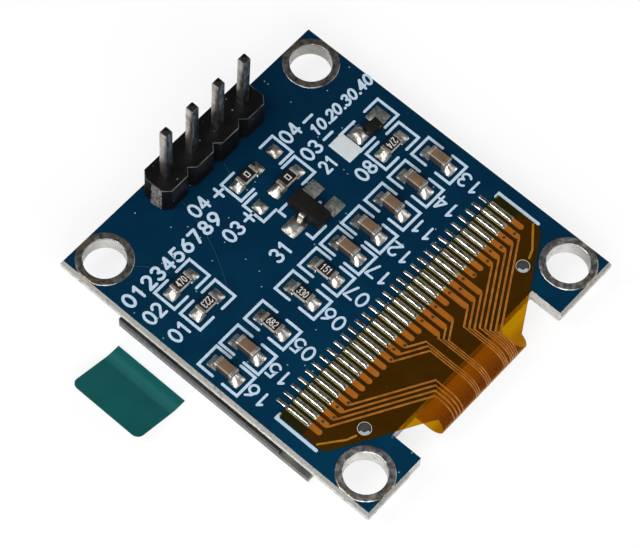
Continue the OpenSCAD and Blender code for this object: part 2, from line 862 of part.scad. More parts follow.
// Section of the tab in X and Z: flat on the film, a bend, then a straight slope
module tab_section() {
    outer = tab_bend_r + tab_t;
    translate([bend_x, tab_z]) square([tab_flat_l, tab_t]);
    translate([bend_x, tab_z + outer]) {
        intersection() {
            difference() {
                circle(outer, $fn = 96);
                circle(tab_bend_r, $fn = 96);
            }
            polygon([[0, 0], [0, -2 * outer],
                [-2 * outer * sin(tab_rise), -2 * outer * cos(tab_rise)]]);
        }
        rotate(-tab_rise) translate([-tab_l, -outer]) square([tab_l, tab_t]);
    }
}

module pull_tab() {
    color("teal") intersection() {
        translate([0, 0, tab_z]) linear_extrude(tab_l) tab_outline();
        translate([0, tab_y, 0]) along_y(tab_w) tab_section();
    }
}

circuit_board();
hole_plating();
header_housing();
header_solder();
for (k = [1:pin_count])
    header_pin(k);
for (k = [1:len(resistors)])
    resistor(k);
for (k = [1:len(resistors)])
    resistor_solder(k);
for (k = [1:len(capacitors)])
    capacitor(k);
for (k = [1:len(capacitors)])
    capacitor_solder(k);
diode_body();
diode_leads();
diode_solder();
regulator_body();
regulator_leads();
regulator_solder();
bare_pad_solder();
ribbon();
ribbon_contacts();
ribbon_solder();
ribbon_traces();
board_print();
foam_tape();
cover_glass();
drying_sheet();
pixel_layer();
front_glass();
driver_chip();
polariser();
protective_film();
pull_tab();
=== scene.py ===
import math
import random

import bmesh
import bpy
from mathutils import Matrix, Vector, noise
from mathutils.geometry import delaunay_2d_cdt


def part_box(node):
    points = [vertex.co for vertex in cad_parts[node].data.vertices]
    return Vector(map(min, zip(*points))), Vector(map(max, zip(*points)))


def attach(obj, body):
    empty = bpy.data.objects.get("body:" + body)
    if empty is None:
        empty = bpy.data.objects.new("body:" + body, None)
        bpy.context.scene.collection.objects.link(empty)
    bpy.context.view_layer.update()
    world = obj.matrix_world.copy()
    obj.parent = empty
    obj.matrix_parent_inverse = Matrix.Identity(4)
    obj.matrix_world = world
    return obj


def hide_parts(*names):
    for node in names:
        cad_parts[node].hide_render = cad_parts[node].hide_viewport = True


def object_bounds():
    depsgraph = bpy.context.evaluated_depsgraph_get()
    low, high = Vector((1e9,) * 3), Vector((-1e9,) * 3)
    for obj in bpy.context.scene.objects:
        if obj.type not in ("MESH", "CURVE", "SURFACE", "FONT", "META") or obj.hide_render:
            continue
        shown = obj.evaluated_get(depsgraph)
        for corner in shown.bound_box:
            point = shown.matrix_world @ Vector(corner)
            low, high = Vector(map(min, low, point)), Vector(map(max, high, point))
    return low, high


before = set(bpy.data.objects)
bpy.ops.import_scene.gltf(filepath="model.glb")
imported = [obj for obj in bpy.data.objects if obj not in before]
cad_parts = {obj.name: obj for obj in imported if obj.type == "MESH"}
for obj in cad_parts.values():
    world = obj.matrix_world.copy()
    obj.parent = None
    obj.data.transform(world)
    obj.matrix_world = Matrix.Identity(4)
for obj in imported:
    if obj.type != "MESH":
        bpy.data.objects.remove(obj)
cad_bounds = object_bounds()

MM = 0.001
random.seed(7)

# ---- the frame, in millimetres ----


def box(node):
    low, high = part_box(node)
    return low / MM, high / MM


def middle(node):
    low, high = box(node)
    return (low + high) / 2


board_t = box("circuit_board")[1].z
hole_low, hole_high = box("hole_plating")
board_w, board_l, _ = hole_high - hole_low

# ---- materials ----


class Look:
    """A material whose shader's own sockets hold every plain number and colour."""

    def __init__(self, name, color, roughness=0.5, **sockets):
        self.material = bpy.data.materials.new(name)
        self.material.use_nodes = True
        self.tree = self.material.node_tree
        self.shader = self.tree.nodes["Principled BSDF"]
        self.out = self.tree.nodes["Material Output"]
        self.place = self.node("ShaderNodeTexCoord").outputs["Object"]
        self.set(self.shader, {"Base Color": (*color, 1), "Roughness": roughness})
        self.set(self.shader, {k.replace("_", " "): v for k, v in sockets.items()})

    def set(self, node, values):
        for key, value in values.items():
            if isinstance(value, bpy.types.NodeSocket):
                self.tree.links.new(value, node.inputs[key])
            else:
                node.inputs[key].default_value = value

    def node(self, kind, inputs=None, **settings):
        node = self.tree.nodes.new(kind)
        for key, value in settings.items():
            setattr(node, key, value)
        self.set(node, inputs or {})
        return node

    def stretched(self, scale):
        inputs = {"Vector": self.place, "Scale": scale}
        return self.node("ShaderNodeMapping", inputs).outputs["Vector"]

    def noise(self, size, detail=3, rough=0.55, stretch=None):
        """Noise whose features are about size millimetres across."""
        place = self.stretched(stretch) if stretch else self.place
        inputs = {"Vector": place, "Scale": 1 / (size * MM), "Detail": detail,
                  "Roughness": rough}
        return self.node("ShaderNodeTexNoise", inputs).outputs["Fac"]

    def specks(self, size, share, radius, dimensions="3D"):
        """1 inside specks of radius, in share of the cells of size millimetres."""
        inputs = {"Vector": self.place, "Scale": 1 / (size * MM)}
        node = self.node("ShaderNodeTexVoronoi", inputs, voronoi_dimensions=dimensions)
        chosen = self.steps(self.part("X", node.outputs["Color"]), 1 - share, 1.01 - share)
        near = self.steps(node.outputs["Distance"], 0.6 * radius / size, radius / size, 1, 0)
        return self.math("MULTIPLY", chosen, near)

    def steps(self, value, low, high, to_low=0.0, to_high=1.0):
        inputs = {0: value, 1: low, 2: high, 3: to_low, 4: to_high}
        return self.node("ShaderNodeMapRange", inputs).outputs[0]

    def math(self, operation, a, b=0.0):
        inputs = {0: a, 1: b}
        return self.node("ShaderNodeMath", inputs, operation=operation).outputs[0]

    def part(self, axis, source=None):
        inputs = {0: source or self.place}
        return self.node("ShaderNodeSeparateXYZ", inputs).outputs[axis]

    def normal(self, axis):
        node = self.node("ShaderNodeNewGeometry")
        return self.part(axis, node.outputs["True Normal"])

    def mix(self, fac, a, b):
        """Colour a where fac is 0 and b where it is 1."""
        node = self.node("ShaderNodeMix", data_type="RGBA")
        colors = [(*c, 1) if isinstance(c, tuple) else c for c in (a, b)]
        self.set(node, {0: fac, 6: colors[0], 7: colors[1]})
        return node.outputs[2]

    def bump(self, height, depth, strength=1.0):
        inputs = {"Height": height, "Distance": depth * MM, "Strength": strength}
        if self.shader.inputs["Normal"].is_linked:
            inputs["Normal"] = self.shader.inputs["Normal"].links[0].from_socket
        self.set(self.shader, {"Normal": self.node("ShaderNodeBump", inputs).outputs[0]})

    def done(self, **sockets):
        self.set(self.shader, {k.replace("_", " "): v for k, v in sockets.items()})
        return self.material


def mask_look():
    """Blue solder mask with dust on the two faces and a painted light gradient across them, bare
    glass fibre on the cut edges.
    """
    k = Look("solder_mask", (0, 0.02, 0.05), 0.42)
    flat = k.steps(k.math("ABSOLUTE", k.normal("Z")), 0.8, 0.95)
    # Painted light: the blue grows lighter towards the -X-Y corner, on the key lamp's side.
    across = k.math("ADD", k.part("X"), k.part("Y"))
    blue = k.mix(k.steps(across, 20 * MM, -24 * MM), (0.0003, 0.0155, 0.038),
                 (0.0003, 0.0265, 0.058))
    pour = k.steps(k.noise(2.4, 1, 0.3), 0.47, 0.53, 0.0, 0.3)
    blue = k.mix(pour, blue, (0.0003, 0.012, 0.036))
    blue = k.mix(k.math("MULTIPLY", k.specks(0.8, 0.12, 0.055, "2D"), 0.8), blue,
                 (0.3, 0.42, 0.46))
    streak = k.noise(0.3, 4, 0.7, (0.5, 0.5, 4.0))
    fibre = k.mix(k.steps(streak, 0.35, 0.65), (0.42, 0.41, 0.38), (0.68, 0.67, 0.63))
    slope = k.steps(k.normal("Z"), 0.1, 0.3)
    fibre = k.mix(k.math("MULTIPLY", slope, 0.7), fibre, (0.22, 0.215, 0.2))
    dark = k.steps(k.noise(0.3, 3, 0.7), 0.55, 0.66, 0.0, 0.75)
    fibre = k.mix(dark, fibre, (0.14, 0.125, 0.11))
    k.bump(k.noise(0.12, 3, 0.6), 0.01, 0.2)
    k.bump(k.math("MULTIPLY", k.math("SUBTRACT", 1.0, flat), streak), 0.12)
    return k.done(Base_Color=k.mix(flat, fibre, blue),
                  Roughness=k.steps(flat, 0, 1, 0.85, 0.42),
                  Specular_IOR_Level=0.05)


def metal_look(name, bright, dull, roughness, size, depth, stain=None):
    """Metal that runs from bright to dull in patches, with a wavy surface."""
    k = Look(name, bright, roughness, Metallic=1.0)
    color = k.mix(k.steps(k.noise(size, 4, 0.6), 0.4, 0.65), bright, dull)
    if stain:
        color = k.mix(k.steps(k.noise(size * 1.7, 2), 0.55, 0.7, 0.0, 0.8), color, stain)
    k.bump(k.noise(size * 0.3, 3, 0.5), depth)
    return k.done(Base_Color=color,
                  Roughness=k.steps(k.noise(size * 0.5, 3), 0.3, 0.7,
                                    roughness * 0.6, roughness * 1.5))


def plating_look():
    """Dull tin, darker towards the header, gold-brown where the board's edge cuts it."""
    k = Look("tin_plating", (0.4, 0.39, 0.37), 0.4, Metallic=1.0)
    grey = k.mix(k.steps(k.noise(0.4, 4, 0.7), 0.42, 0.7), (0.27, 0.26, 0.25),
                 (0.72, 0.7, 0.67))
    # Darker, patchier tin towards the header (+Y), blended in along Y.
    header_end_tone = k.mix(k.steps(k.noise(0.35, 4, 0.7), 0.5, 0.72), (0.1, 0.09, 0.08),
                    (0.5, 0.46, 0.42))
    grey = k.mix(k.steps(k.part("Y"), -6 * MM, 11 * MM, 0.0, 0.6), grey, header_end_tone)
    reach = k.math("DIVIDE", k.math("ABSOLUTE", k.part("X")), board_w / 2 * MM)
    reach_y = k.math("DIVIDE", k.math("ABSOLUTE", k.part("Y")), board_l / 2 * MM)
    worn = k.steps(k.math("MAXIMUM", reach, reach_y), 0.965, 0.985, 0.0, 0.7)
    worn = k.math("MULTIPLY", worn, k.steps(k.noise(0.5, 3), 0.42, 0.55))
    worn = k.math("MULTIPLY", worn, k.steps(k.normal("Z"), 0.6, 0.9))
    grey = k.mix(worn, grey, (0.26, 0.17, 0.07))
    k.bump(k.noise(0.25, 3, 0.6), 0.015)
    return k.done(Base_Color=grey,
                  Roughness=k.steps(k.noise(0.4, 3), 0.3, 0.7, 0.25, 0.45))


def strip_look():
    """Tin crown in patches, with painted reflections on its flanks: olive for the amber film on
    the left flank, dark grey on the right flank.
    """
    k = Look("tinned_contact", (0.85, 0.83, 0.8), 0.2, Metallic=1.0)
    across = k.part("X", k.node("ShaderNodeNewGeometry").outputs["Normal"])
    tone = k.mix(k.steps(k.noise(0.28, 3, 0.6, (1, 0.6, 1)), 0.44, 0.58), (0.8, 0.78, 0.76),
                 (0.2, 0.19, 0.18))
    # Painted reflections by facing: dark grey patches on the right flank, olive film colour on the
    # left flank.
    grey = k.mix(k.steps(k.noise(0.16, 3, 0.6), 0.42, 0.6), (0.16, 0.155, 0.165),
                 (0.62, 0.58, 0.62))
    tone = k.mix(k.steps(across, 0.2, 0.5), tone, grey)
    tone = k.mix(k.steps(across, -0.6, -0.8), tone, (0.3, 0.26, 0.06))
    k.bump(k.noise(0.3, 3, 0.5), 0.006)
    return k.done(Base_Color=tone,
                  Roughness=k.steps(across, -0.1, 0.5, 0.2, 0.36))


def matt_look(name, color, other, roughness, size, depth=0.01, **sockets):
    """Plastic, ceramic or ink: two close tones in patches and a fine grain."""
    k = Look(name, color, roughness, **sockets)
    tone = k.mix(k.steps(k.noise(size, 4, 0.6), 0.35, 0.65), color, other)
    k.bump(k.noise(size * 0.3, 3, 0.6), depth)
    return k.done(Base_Color=tone,
                  Roughness=k.steps(k.noise(size * 0.7, 3), 0.3, 0.7,
                                    roughness * 0.8, min(1, roughness * 1.2)))


def pin_look(top):
    """Tinned pin: patches of warm and grey tin, a painted blue-grey reflection of the mask on its
    -Y faces, dark where its end was cut.
    """
    k = Look("pin_tin", (0.3, 0.28, 0.26), 0.3, Metallic=1.0)
    tone = k.mix(k.steps(k.noise(0.9, 3, 0.6), 0.4, 0.62), (0.6, 0.55, 0.5),
                 (0.3, 0.28, 0.26))
    tone = k.mix(k.steps(k.noise(0.5, 2, 0.5, (1, 1, 0.4)), 0.6, 0.7, 0.0, 0.5), tone,
                 (0.4, 0.32, 0.25))
    # Painted reflection of the blue mask on the faces that look towards -Y.
    mask_reflection = k.mix(k.steps(k.noise(0.4, 3, 0.7, (1, 1, 0.4)), 0.45, 0.65), (0.13, 0.145, 0.16),
                 (0.46, 0.49, 0.5))
    tone = k.mix(k.steps(k.normal("Y"), -0.5, -0.8), tone, mask_reflection)
    cut = k.steps(k.part("Z"), (top - 0.42) * MM, (top - 0.3) * MM)
    tone = k.mix(cut, tone, (0.03, 0.028, 0.025))
    k.bump(k.noise(0.3, 3, 0.6, (1, 1, 0.25)), 0.012)
    return k.done(Base_Color=tone)


def speckled_look(name, color, other, roughness, **sockets):
    """Black plastic with a few pale specks of dust."""
    k = Look(name, color, roughness, **sockets)
    tone = k.mix(k.steps(k.noise(0.6, 4, 0.6), 0.35, 0.65), color, other)
    tone = k.mix(k.math("MULTIPLY", k.specks(0.4, 0.16, 0.06), 0.7), tone,
                 (0.35, 0.35, 0.34))
    k.bump(k.noise(0.25, 3, 0.6), 0.012)
    return k.done(Base_Color=tone)


def brown_look():
    """Fired ceramic: a painted highlight where the top's edges round over, painted shade on its
    sides.
    """
    k = Look("brown_ceramic", (0.15, 0.09, 0.06), 0.45, Specular_IOR_Level=0.2)
    tone = k.mix(k.steps(k.noise(0.5, 4, 0.6), 0.35, 0.65), (0.155, 0.09, 0.048),
                 (0.11, 0.073, 0.046))
    up = k.part("Z", k.node("ShaderNodeNewGeometry").outputs["Normal"])
    # Painted highlight on the rounded top edges.
    tone = k.mix(k.steps(up, 0.97, 0.85), tone, (0.26, 0.21, 0.16))
    # Painted shade on the sides.
    tone = k.mix(k.steps(up, 0.55, 0.3), tone, (0.045, 0.038, 0.036))
    k.bump(k.noise(0.15, 3, 0.6), 0.008)
    return k.done(Base_Color=tone)


def tab_look():
    """Green film with a paler crease along the display's side."""
    k = Look("green_film", (0.005, 0.07, 0.073), 0.35, Specular_IOR_Level=0.12)
    tone = k.mix(k.steps(k.noise(2.5, 4, 0.6), 0.35, 0.65), (0.0045, 0.072, 0.074),
                 (0.006, 0.084, 0.086))
    start = box("cover_glass")[0].x
    crease = k.math("MULTIPLY", k.steps(k.part("X"), (start - 2.6) * MM, (start - 2.4) * MM),
                    k.steps(k.part("X"), (start - 1.5) * MM, (start - 1.8) * MM))
    tone = k.mix(k.math("MULTIPLY", crease, 0.6), tone, (0.02, 0.13, 0.13))
    k.bump(k.noise(0.8, 3, 0.6), 0.02)
    return k.done(Base_Color=tone)


def sheet_look(name, through, color, roughness, share, size=2.0, zone=None, bend=None,
               **sockets):
    """A thin coloured sheet: light passes tinted by through, and share of it is
    scattered by its own colour. Past the place zone along Y, other values hold, and
    before the place bend a darker tint holds, a painted shade on the fold's outer part."""
    k = Look(name, color, roughness, **sockets)
    tone = k.mix(k.steps(k.noise(size, 3), 0.35, 0.65), color,
                 tuple(c * 0.8 for c in color))
    k.bump(k.noise(size, 2), 0.02)
    clear = k.node("ShaderNodeBsdfTransparent", {"Color": (*through, 1)})
    blend = k.node("ShaderNodeMixShader", {0: share, 1: clear.outputs[0],
                                           2: k.shader.outputs[0]})
    if zone:
        place, zone_through, zone_color, zone_share = zone
        past = k.steps(k.part("Y"), (place - 0.04) * MM, (place + 0.04) * MM)
        tone = k.mix(past, tone, zone_color)
        tint = k.mix(past, through, zone_through)
        if bend:
            # Painted shade: a darker tint on the outer part of the fold.
            place, flap_shade_tint = bend
            before = k.steps(k.part("Y"), (place + 0.2) * MM, (place - 0.4) * MM)
            tint = k.mix(before, tint, flap_shade_tint)
        k.set(clear, {"Color": tint})
        k.set(blend, {0: k.steps(past, 0, 1, share, zone_share)})
    k.done(Base_Color=tone)
    k.tree.links.new(blend.outputs[0], k.out.inputs["Surface"])
    return k.material


MASK = mask_look()
PLATING = plating_look()
BARREL = metal_look("plated_barrel", (0.9, 0.89, 0.86), (0.74, 0.73, 0.7), 0.4, 0.7, 0.006)
SOLDER = metal_look("solder", (0.64, 0.62, 0.58), (0.3, 0.28, 0.25), 0.34, 0.4, 0.012,
                    (0.3, 0.22, 0.15))
MATT_SOLDER = metal_look("matt_solder", (0.4, 0.42, 0.385), (0.16, 0.17, 0.155), 0.45, 0.2,
                         0.02)
STRIP = strip_look()
TIN = metal_look("chip_tin", (0.6, 0.57, 0.53), (0.42, 0.39, 0.35), 0.42, 0.4, 0.006,
                 (0.36, 0.27, 0.2))
LEAD = metal_look("lead_tin", (0.6, 0.58, 0.55), (0.4, 0.38, 0.36), 0.35, 0.4, 0.012)
PLASTIC = speckled_look("header_plastic", (0.0018, 0.002, 0.0023), (0.004, 0.0042, 0.0045),
                        0.4, Specular_IOR_Level=0.12)
# Painted highlight for the bevel along the header's top edge.
RIM_HIGHLIGHT = matt_look("painted_rim_highlight", (0.006, 0.006, 0.006), (0.13, 0.13, 0.125), 0.5, 0.7)
SCAR = matt_look("snapped_plastic", (0.005, 0.005, 0.005), (0.2, 0.19, 0.19), 0.8, 0.14,
                 0.05)
MOULDING = speckled_look("moulding", (0.0035, 0.0035, 0.003), (0.007, 0.0065, 0.006), 0.55,
                         Specular_IOR_Level=0.15)
GLAZE = matt_look("glaze", (0.004, 0.004, 0.0035), (0.009, 0.008, 0.007), 0.35, 0.3,
                  Specular_IOR_Level=0.3)
CERAMIC = matt_look("white_ceramic", (0.5, 0.48, 0.44), (0.36, 0.34, 0.31), 0.6, 0.2)
BROWN = brown_look()
CODE = matt_look("code_ink", (0.6, 0.59, 0.55), (0.5, 0.49, 0.46), 0.6, 0.1)
INK = matt_look("board_ink", (0.44, 0.545, 0.64), (0.36, 0.465, 0.58), 0.5, 0.3, 0.012,
                Specular_IOR_Level=0.3)
BLOCK_INK = matt_look("thick_ink", (0.5, 0.54, 0.55), (0.44, 0.485, 0.5), 0.5, 0.8, 0.01,
                      Specular_IOR_Level=0.3)
SCRATCH = matt_look("mask_scratch", (0.006, 0.045, 0.08), (0.001, 0.03, 0.063), 0.5, 0.6)
SHADE = matt_look("peg_hole_shade", (0.022, 0.024, 0.024), (0.035, 0.038, 0.036), 0.6, 0.2)
COPPER = matt_look("copper_under_film", (0.29, 0.09, 0.006), (0.24, 0.07, 0.005), 0.35,
                   0.6, 0.004, Specular_IOR_Level=0.3)
TRACE = matt_look("trace_under_film", (0.32, 0.12, 0.014), (0.2, 0.068, 0.008), 0.35,
                  0.5, 0.004, Specular_IOR_Level=0.3)
GUARD = matt_look("guard_line", (0.3, 0.14, 0.004), (0.22, 0.1, 0.003), 0.35, 0.6)
HOLE = matt_look("via_shade", (0.012, 0.006, 0.003), (0.02, 0.009, 0.004), 0.6, 0.1)
RIBBON = sheet_look("amber_film", (0.86, 0.6, 0.03), (0.115, 0.05, 0.003), 0.25, 0.22,
                    Specular_IOR_Level=0.12,
                    zone=(box("ribbon_contacts")[0].y - 0.05, (0.75, 0.65, 0.3),
                          (0.055, 0.045, 0.012), 0.16),
                    # The outer part of the fold takes a darker tint, a painted shade.
                    bend=(box("ribbon")[0].y + 1.0, (0.7, 0.44, 0.02)))
FOAM = matt_look("foam", (0.5, 0.5, 0.48), (0.35, 0.35, 0.34), 0.9, 0.15, 0.06)
PAD = matt_look("tinned_pad_edge", (0.3, 0.27, 0.12), (0.1, 0.09, 0.035), 0.4, 0.14)
GLASS = matt_look("cover_glass", (0.012, 0.0125, 0.012), (0.03, 0.03, 0.028), 0.3, 1.5,
                  0.004, Specular_IOR_Level=0.15)
FRONT = matt_look("front_glass", (0.14, 0.14, 0.13), (0.07, 0.07, 0.066), 0.3, 1.5, 0.004,
                  Specular_IOR_Level=0.3)
DRIER = matt_look("drying_sheet", (0.75, 0.75, 0.72), (0.65, 0.65, 0.62), 0.9, 0.3)
PIXELS = matt_look("pixel_layer", (0.05, 0.055, 0.06), (0.03, 0.035, 0.04), 0.3, 0.4)
SILICON = matt_look("silicon", (0.1, 0.1, 0.11), (0.16, 0.16, 0.17), 0.25, 0.6)
POLARISER = matt_look("polariser", (0.012, 0.012, 0.014), (0.02, 0.02, 0.022), 0.2, 3)
FILM = sheet_look("clear_film", (0.99, 0.993, 0.996), (0.8, 0.85, 0.9), 0.1, 0.02,
                  Specular_IOR_Level=0.2)
TAB = tab_look()
PIN = pin_look(box("header_pin_1")[1].z)

# ---- making pieces ----


class Piece:
    """Collects faces with their materials, then makes one object of them."""

    def __init__(self, *materials):
        self.bm = bmesh.new()
        self.materials = materials

    def add(self, points, faces, material=0, at=(0, 0, 0), turn=0):
        c, s = math.cos(math.radians(turn)), math.sin(math.radians(turn))
        verts = []
        for x, y, z in points:
            point = Vector((at[0] + c * x - s * y, at[1] + s * x + c * y, at[2] + z))
            verts.append(self.bm.verts.new(point * MM))
        for corners in faces:
            face = self.bm.faces.new([verts[i] for i in corners])
            face.material_index = material
            face.smooth = True

    def make(self, name, slot, *nodes, sharp=42):
        bmesh.ops.recalc_face_normals(self.bm, faces=self.bm.faces)
        mesh = bpy.data.meshes.new(name)
        self.bm.to_mesh(mesh)
        self.bm.free()
        for material in self.materials:
            mesh.materials.append(material)
        mesh.set_sharp_from_angle(angle=math.radians(sharp))
        obj = bpy.data.objects.new(name, mesh)
        bpy.context.scene.collection.objects.link(obj)
        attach(obj, "root")
        if nodes:
            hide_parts(*nodes)
        return obj


def loft(sections):
    """Points and faces of a closed form through rings of the same length."""
    n = len(sections[0])
    points = [p for ring in sections for p in ring]
    faces = [(i * n + j, i * n + (j + 1) % n, (i + 1) * n + (j + 1) % n, (i + 1) * n + j)
             for i in range(len(sections) - 1) for j in range(n)]
    last = (len(sections) - 1) * n
    return points, faces + [tuple(range(n))[::-1], tuple(range(last, last + n))]


def rounded(lx, ly, r, steps=3):
    """A rectangle with round corners, as a list of points."""
    r = min(r, lx / 2 - 1e-4, ly / 2 - 1e-4)
    ring = []
    for k, (sx, sy) in enumerate([(1, 1), (-1, 1), (-1, -1), (1, -1)]):
        for j in range(steps + 1):
            a = math.radians(90 * (k + j / steps))
            ring.append((sx * (lx / 2 - r) + r * math.cos(a),
                         sy * (ly / 2 - r) + r * math.sin(a)))
    return ring


def block(lx, ly, low, high, edge, corner=None, draft=0.0, waist=0.0, steps=3):
    """A block with round edges. Its sides lean in by draft above and below waist."""
    corner = edge if corner is None else corner
    sections = []
    half = [j / steps * math.pi / 2 for j in range(steps + 1)]
    levels = [(low + edge * (1 - math.sin(a)), edge * (1 - math.cos(a))) for a in half]
    levels = levels[::-1]
    if waist:
        levels.append((low + waist, -draft))
    levels += [(high - edge * (1 - math.sin(a)), edge * (1 - math.cos(a))) for a in half]
    for z, inset in levels:
        ring = rounded(lx - 2 * (inset + draft), ly - 2 * (inset + draft),
                       max(corner - inset, 0.01))
        sections.append([(x, y, z) for x, y in ring])
    return loft(sections)


def patch(half_x, half_y, height, base, n=14, pull=0.3):
    """A lump of solder over a pad: height(x, y) above base, over a pad whose corners
    are pulled in."""
    grid = []
    for i in range(n + 1):
        for j in range(n + 1):
            u, v = 2 * i / n - 1, 2 * j / n - 1
            x = half_x * u * math.sqrt(1 - pull * v * v / 2)
            y = half_y * v * math.sqrt(1 - pull * u * u / 2)
            grid.append((x, y, base + height(x, y)))
    m = n + 1
    faces = [(i * m + j, (i + 1) * m + j, (i + 1) * m + j + 1, i * m + j + 1)
             for i in range(n) for j in range(n)]
    rim = [i * m for i in range(n)] + [n * m + j for j in range(n)]
    rim += [i * m + n for i in range(n, 0, -1)] + [j for j in range(n, 0, -1)]
    start = len(grid)
    grid += [(grid[k][0], grid[k][1], base) for k in rim]
    count = len(rim)
    faces += [(rim[k], start + k, start + (k + 1) % count, rim[(k + 1) % count])
              for k in range(count)]
    faces.append(tuple(range(start, start + count)))
    return grid, faces


def lumps(x, y, size, depth, seed=0.0):
    return depth * noise.noise(Vector((x / size, y / size, seed)))


def stroke(path, width, low, high, closed=False, lay=None, cap=6):
    """A printed line: its outline follows path with round ends and mitred corners.
    lay moves each point (x, y, z) onto the surface that it is printed on."""
    n = len(path)
    half = width / 2
    points = [Vector(p) for p in path]
    left, right = [], []
    for i, p in enumerate(points):
        before = points[i - 1] if i or closed else None
        after = points[(i + 1) % n] if i < n - 1 or closed else None
        a = (p - before).normalized() if before is not None else None
        b = (after - p).normalized() if after is not None else a
        a = a if a is not None else b
        along = (a + b).normalized()
        side = Vector((-along.y, along.x))
        reach = half / max(0.35, side.dot(Vector((-a.y, a.x))))
        left.append(p + side * reach)
        right.append(p - side * reach)
        if i == 0 and not closed:
            first = b
        if i == n - 1 and not closed:
            last = a
    if closed:
        outline = left + right
        flat = [(i, (i + 1) % n, n + (i + 1) % n, n + i) for i in range(n)]
        walls = [(i, (i + 1) % n) for i in range(n)]
        walls += [(n + (i + 1) % n, n + i) for i in range(n)]
    else:
        def half_round(centre, direction):
            start = math.atan2(direction.x, -direction.y)
            return [centre + half * Vector((math.cos(start - math.pi * k / cap),
                                            math.sin(start - math.pi * k / cap)))
                    for k in range(1, cap)]
        head = half_round(points[-1], last)
        tail = half_round(points[0], -first)
        outline = left + right + head + tail
        flat = [(i, i + 1, n + i + 1, n + i) for i in range(n - 1)]
        front = [n - 1] + [2 * n + k for k in range(cap - 1)] + [2 * n - 1]
        back = [n] + [2 * n + cap - 1 + k for k in range(cap - 1)] + [0]
        flat += [tuple(front), tuple(back)]
        walls = [(i, i + 1) for i in range(n - 1)]
        walls += [(n + i + 1, n + i) for i in range(n - 1)]
        walls += [(front[k], front[k + 1]) for k in range(cap)]
        walls += [(back[k], back[k + 1]) for k in range(cap)]
    m = len(outline)
    lay = lay or (lambda x, y, z: (x, y, z))
    solid = [lay(p.x, p.y, high) for p in outline] + [lay(p.x, p.y, low) for p in outline]
    faces = flat + [tuple(i + m for i in f)[::-1] for f in flat]
    faces += [(i, j, j + m, i + m) for i, j in walls]
    return solid, faces


# ---- numbers, drawn as strokes in a box 0.62 wide and 1 high ----


def arc(cx, cy, rx, ry, start, end, count=12):
    angles = [math.radians(start + (end - start) * k / count) for k in range(count + 1)]
    return [(cx + rx * math.cos(a), cy + ry * math.sin(a)) for a in angles]


ROUND = arc(0.31, 0.5, 0.31, 0.5, 90, 450, 20)[:-1]
RING_LOW = arc(0.31, 0.31, 0.3, 0.31, 90, 450, 16)[:-1]
RING_HIGH = arc(0.31, 0.69, 0.3, 0.31, 90, 450, 16)[:-1]
GLYPHS = {
    "0": [ROUND],
    "1": [[(0.34, 1), (0.34, 0)], [(0.1, 0.78), (0.34, 1)]],
    "2": [arc(0.31, 0.71, 0.29, 0.29, 165, -40, 10) + [(0.02, 0)], [(0.02, 0), (0.62, 0)]],
    "3": [arc(0.29, 0.745, 0.27, 0.255, 150, -80, 10), arc(0.29, 0.25, 0.31, 0.25, 80, -155, 10)],
    "4": [[(0.47, 0), (0.47, 1)], [(0.44, 0.98), (0.02, 0.3)], [(0.02, 0.3), (0.64, 0.3)]],
    "5": [[(0.56, 1), (0.13, 1), (0.08, 0.56)] + arc(0.29, 0.32, 0.32, 0.32, 120, -150, 12)],
    "6": [RING_LOW, [(0.5, 0.98), (0.2, 0.72), (0.05, 0.42)]],
    "7": [[(0.0, 1), (0.6, 1)], [(0.6, 1), (0.2, 0)]],
    "8": [arc(0.31, 0.75, 0.24, 0.25, -90, 270, 14)[:-1],
          arc(0.31, 0.25, 0.3, 0.25, 90, 450, 14)[:-1]],
    "9": [RING_HIGH, [(0.12, 0.02), (0.42, 0.28), (0.57, 0.58)]],
    ".": [[(0.1, 0.02), (0.16, 0.02)]],
}
# A digit's later strokes lie this much lower, where they cross the first
STROKE_STEP = 0.0003
CLOSED = {"0": [0], "6": [0], "8": [0, 1], "9": [0]}
ADVANCE = {".": 0.4}


def write(piece, text, at, size, width, low, high, turn=0, material=0, slant=0.0,
          narrow=1.0, spacing=0.0):
    """Writes digits from their lower left corner at."""
    pen = 0.0
    for letter in text:
        for k, path in enumerate(GLYPHS.get(letter, [])):
            ring = [((pen + narrow * (x + slant * y)) * size, y * size) for x, y in path]
            shape = stroke(ring, width, low, high - k * STROKE_STEP,
                           closed=k in CLOSED.get(letter, []))
            piece.add(*shape, material, (at[0], at[1], 0), turn)
        pen += narrow * (ADVANCE.get(letter, 0.88) + spacing)


# ---- board, rings ----

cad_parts["circuit_board"].data.materials.clear()
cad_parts["circuit_board"].data.materials.append(MASK)


HOLE_R = 1.5
RING_R = 2.02
HOLE_INSET = 1.95


def ring_profile(reach, swell):
    """Radius and height above the board's face: up the barrel, over the ring and back
    to the barrel's outer wall."""
    return [(HOLE_R, -board_t / 2), (HOLE_R, -0.05), (HOLE_R - 0.005, 0.4 * swell),
            (HOLE_R + 0.02, 0.85 * swell), (HOLE_R + 0.08, swell),
            ((HOLE_R + reach) / 2, 0.9 * swell), (reach - 0.12, swell),
            (reach - 0.06, 0.85 * swell), (reach - 0.02, 0.5 * swell), (reach, 0.0),
            (reach, -0.01), (HOLE_R + 0.045, -0.01)]


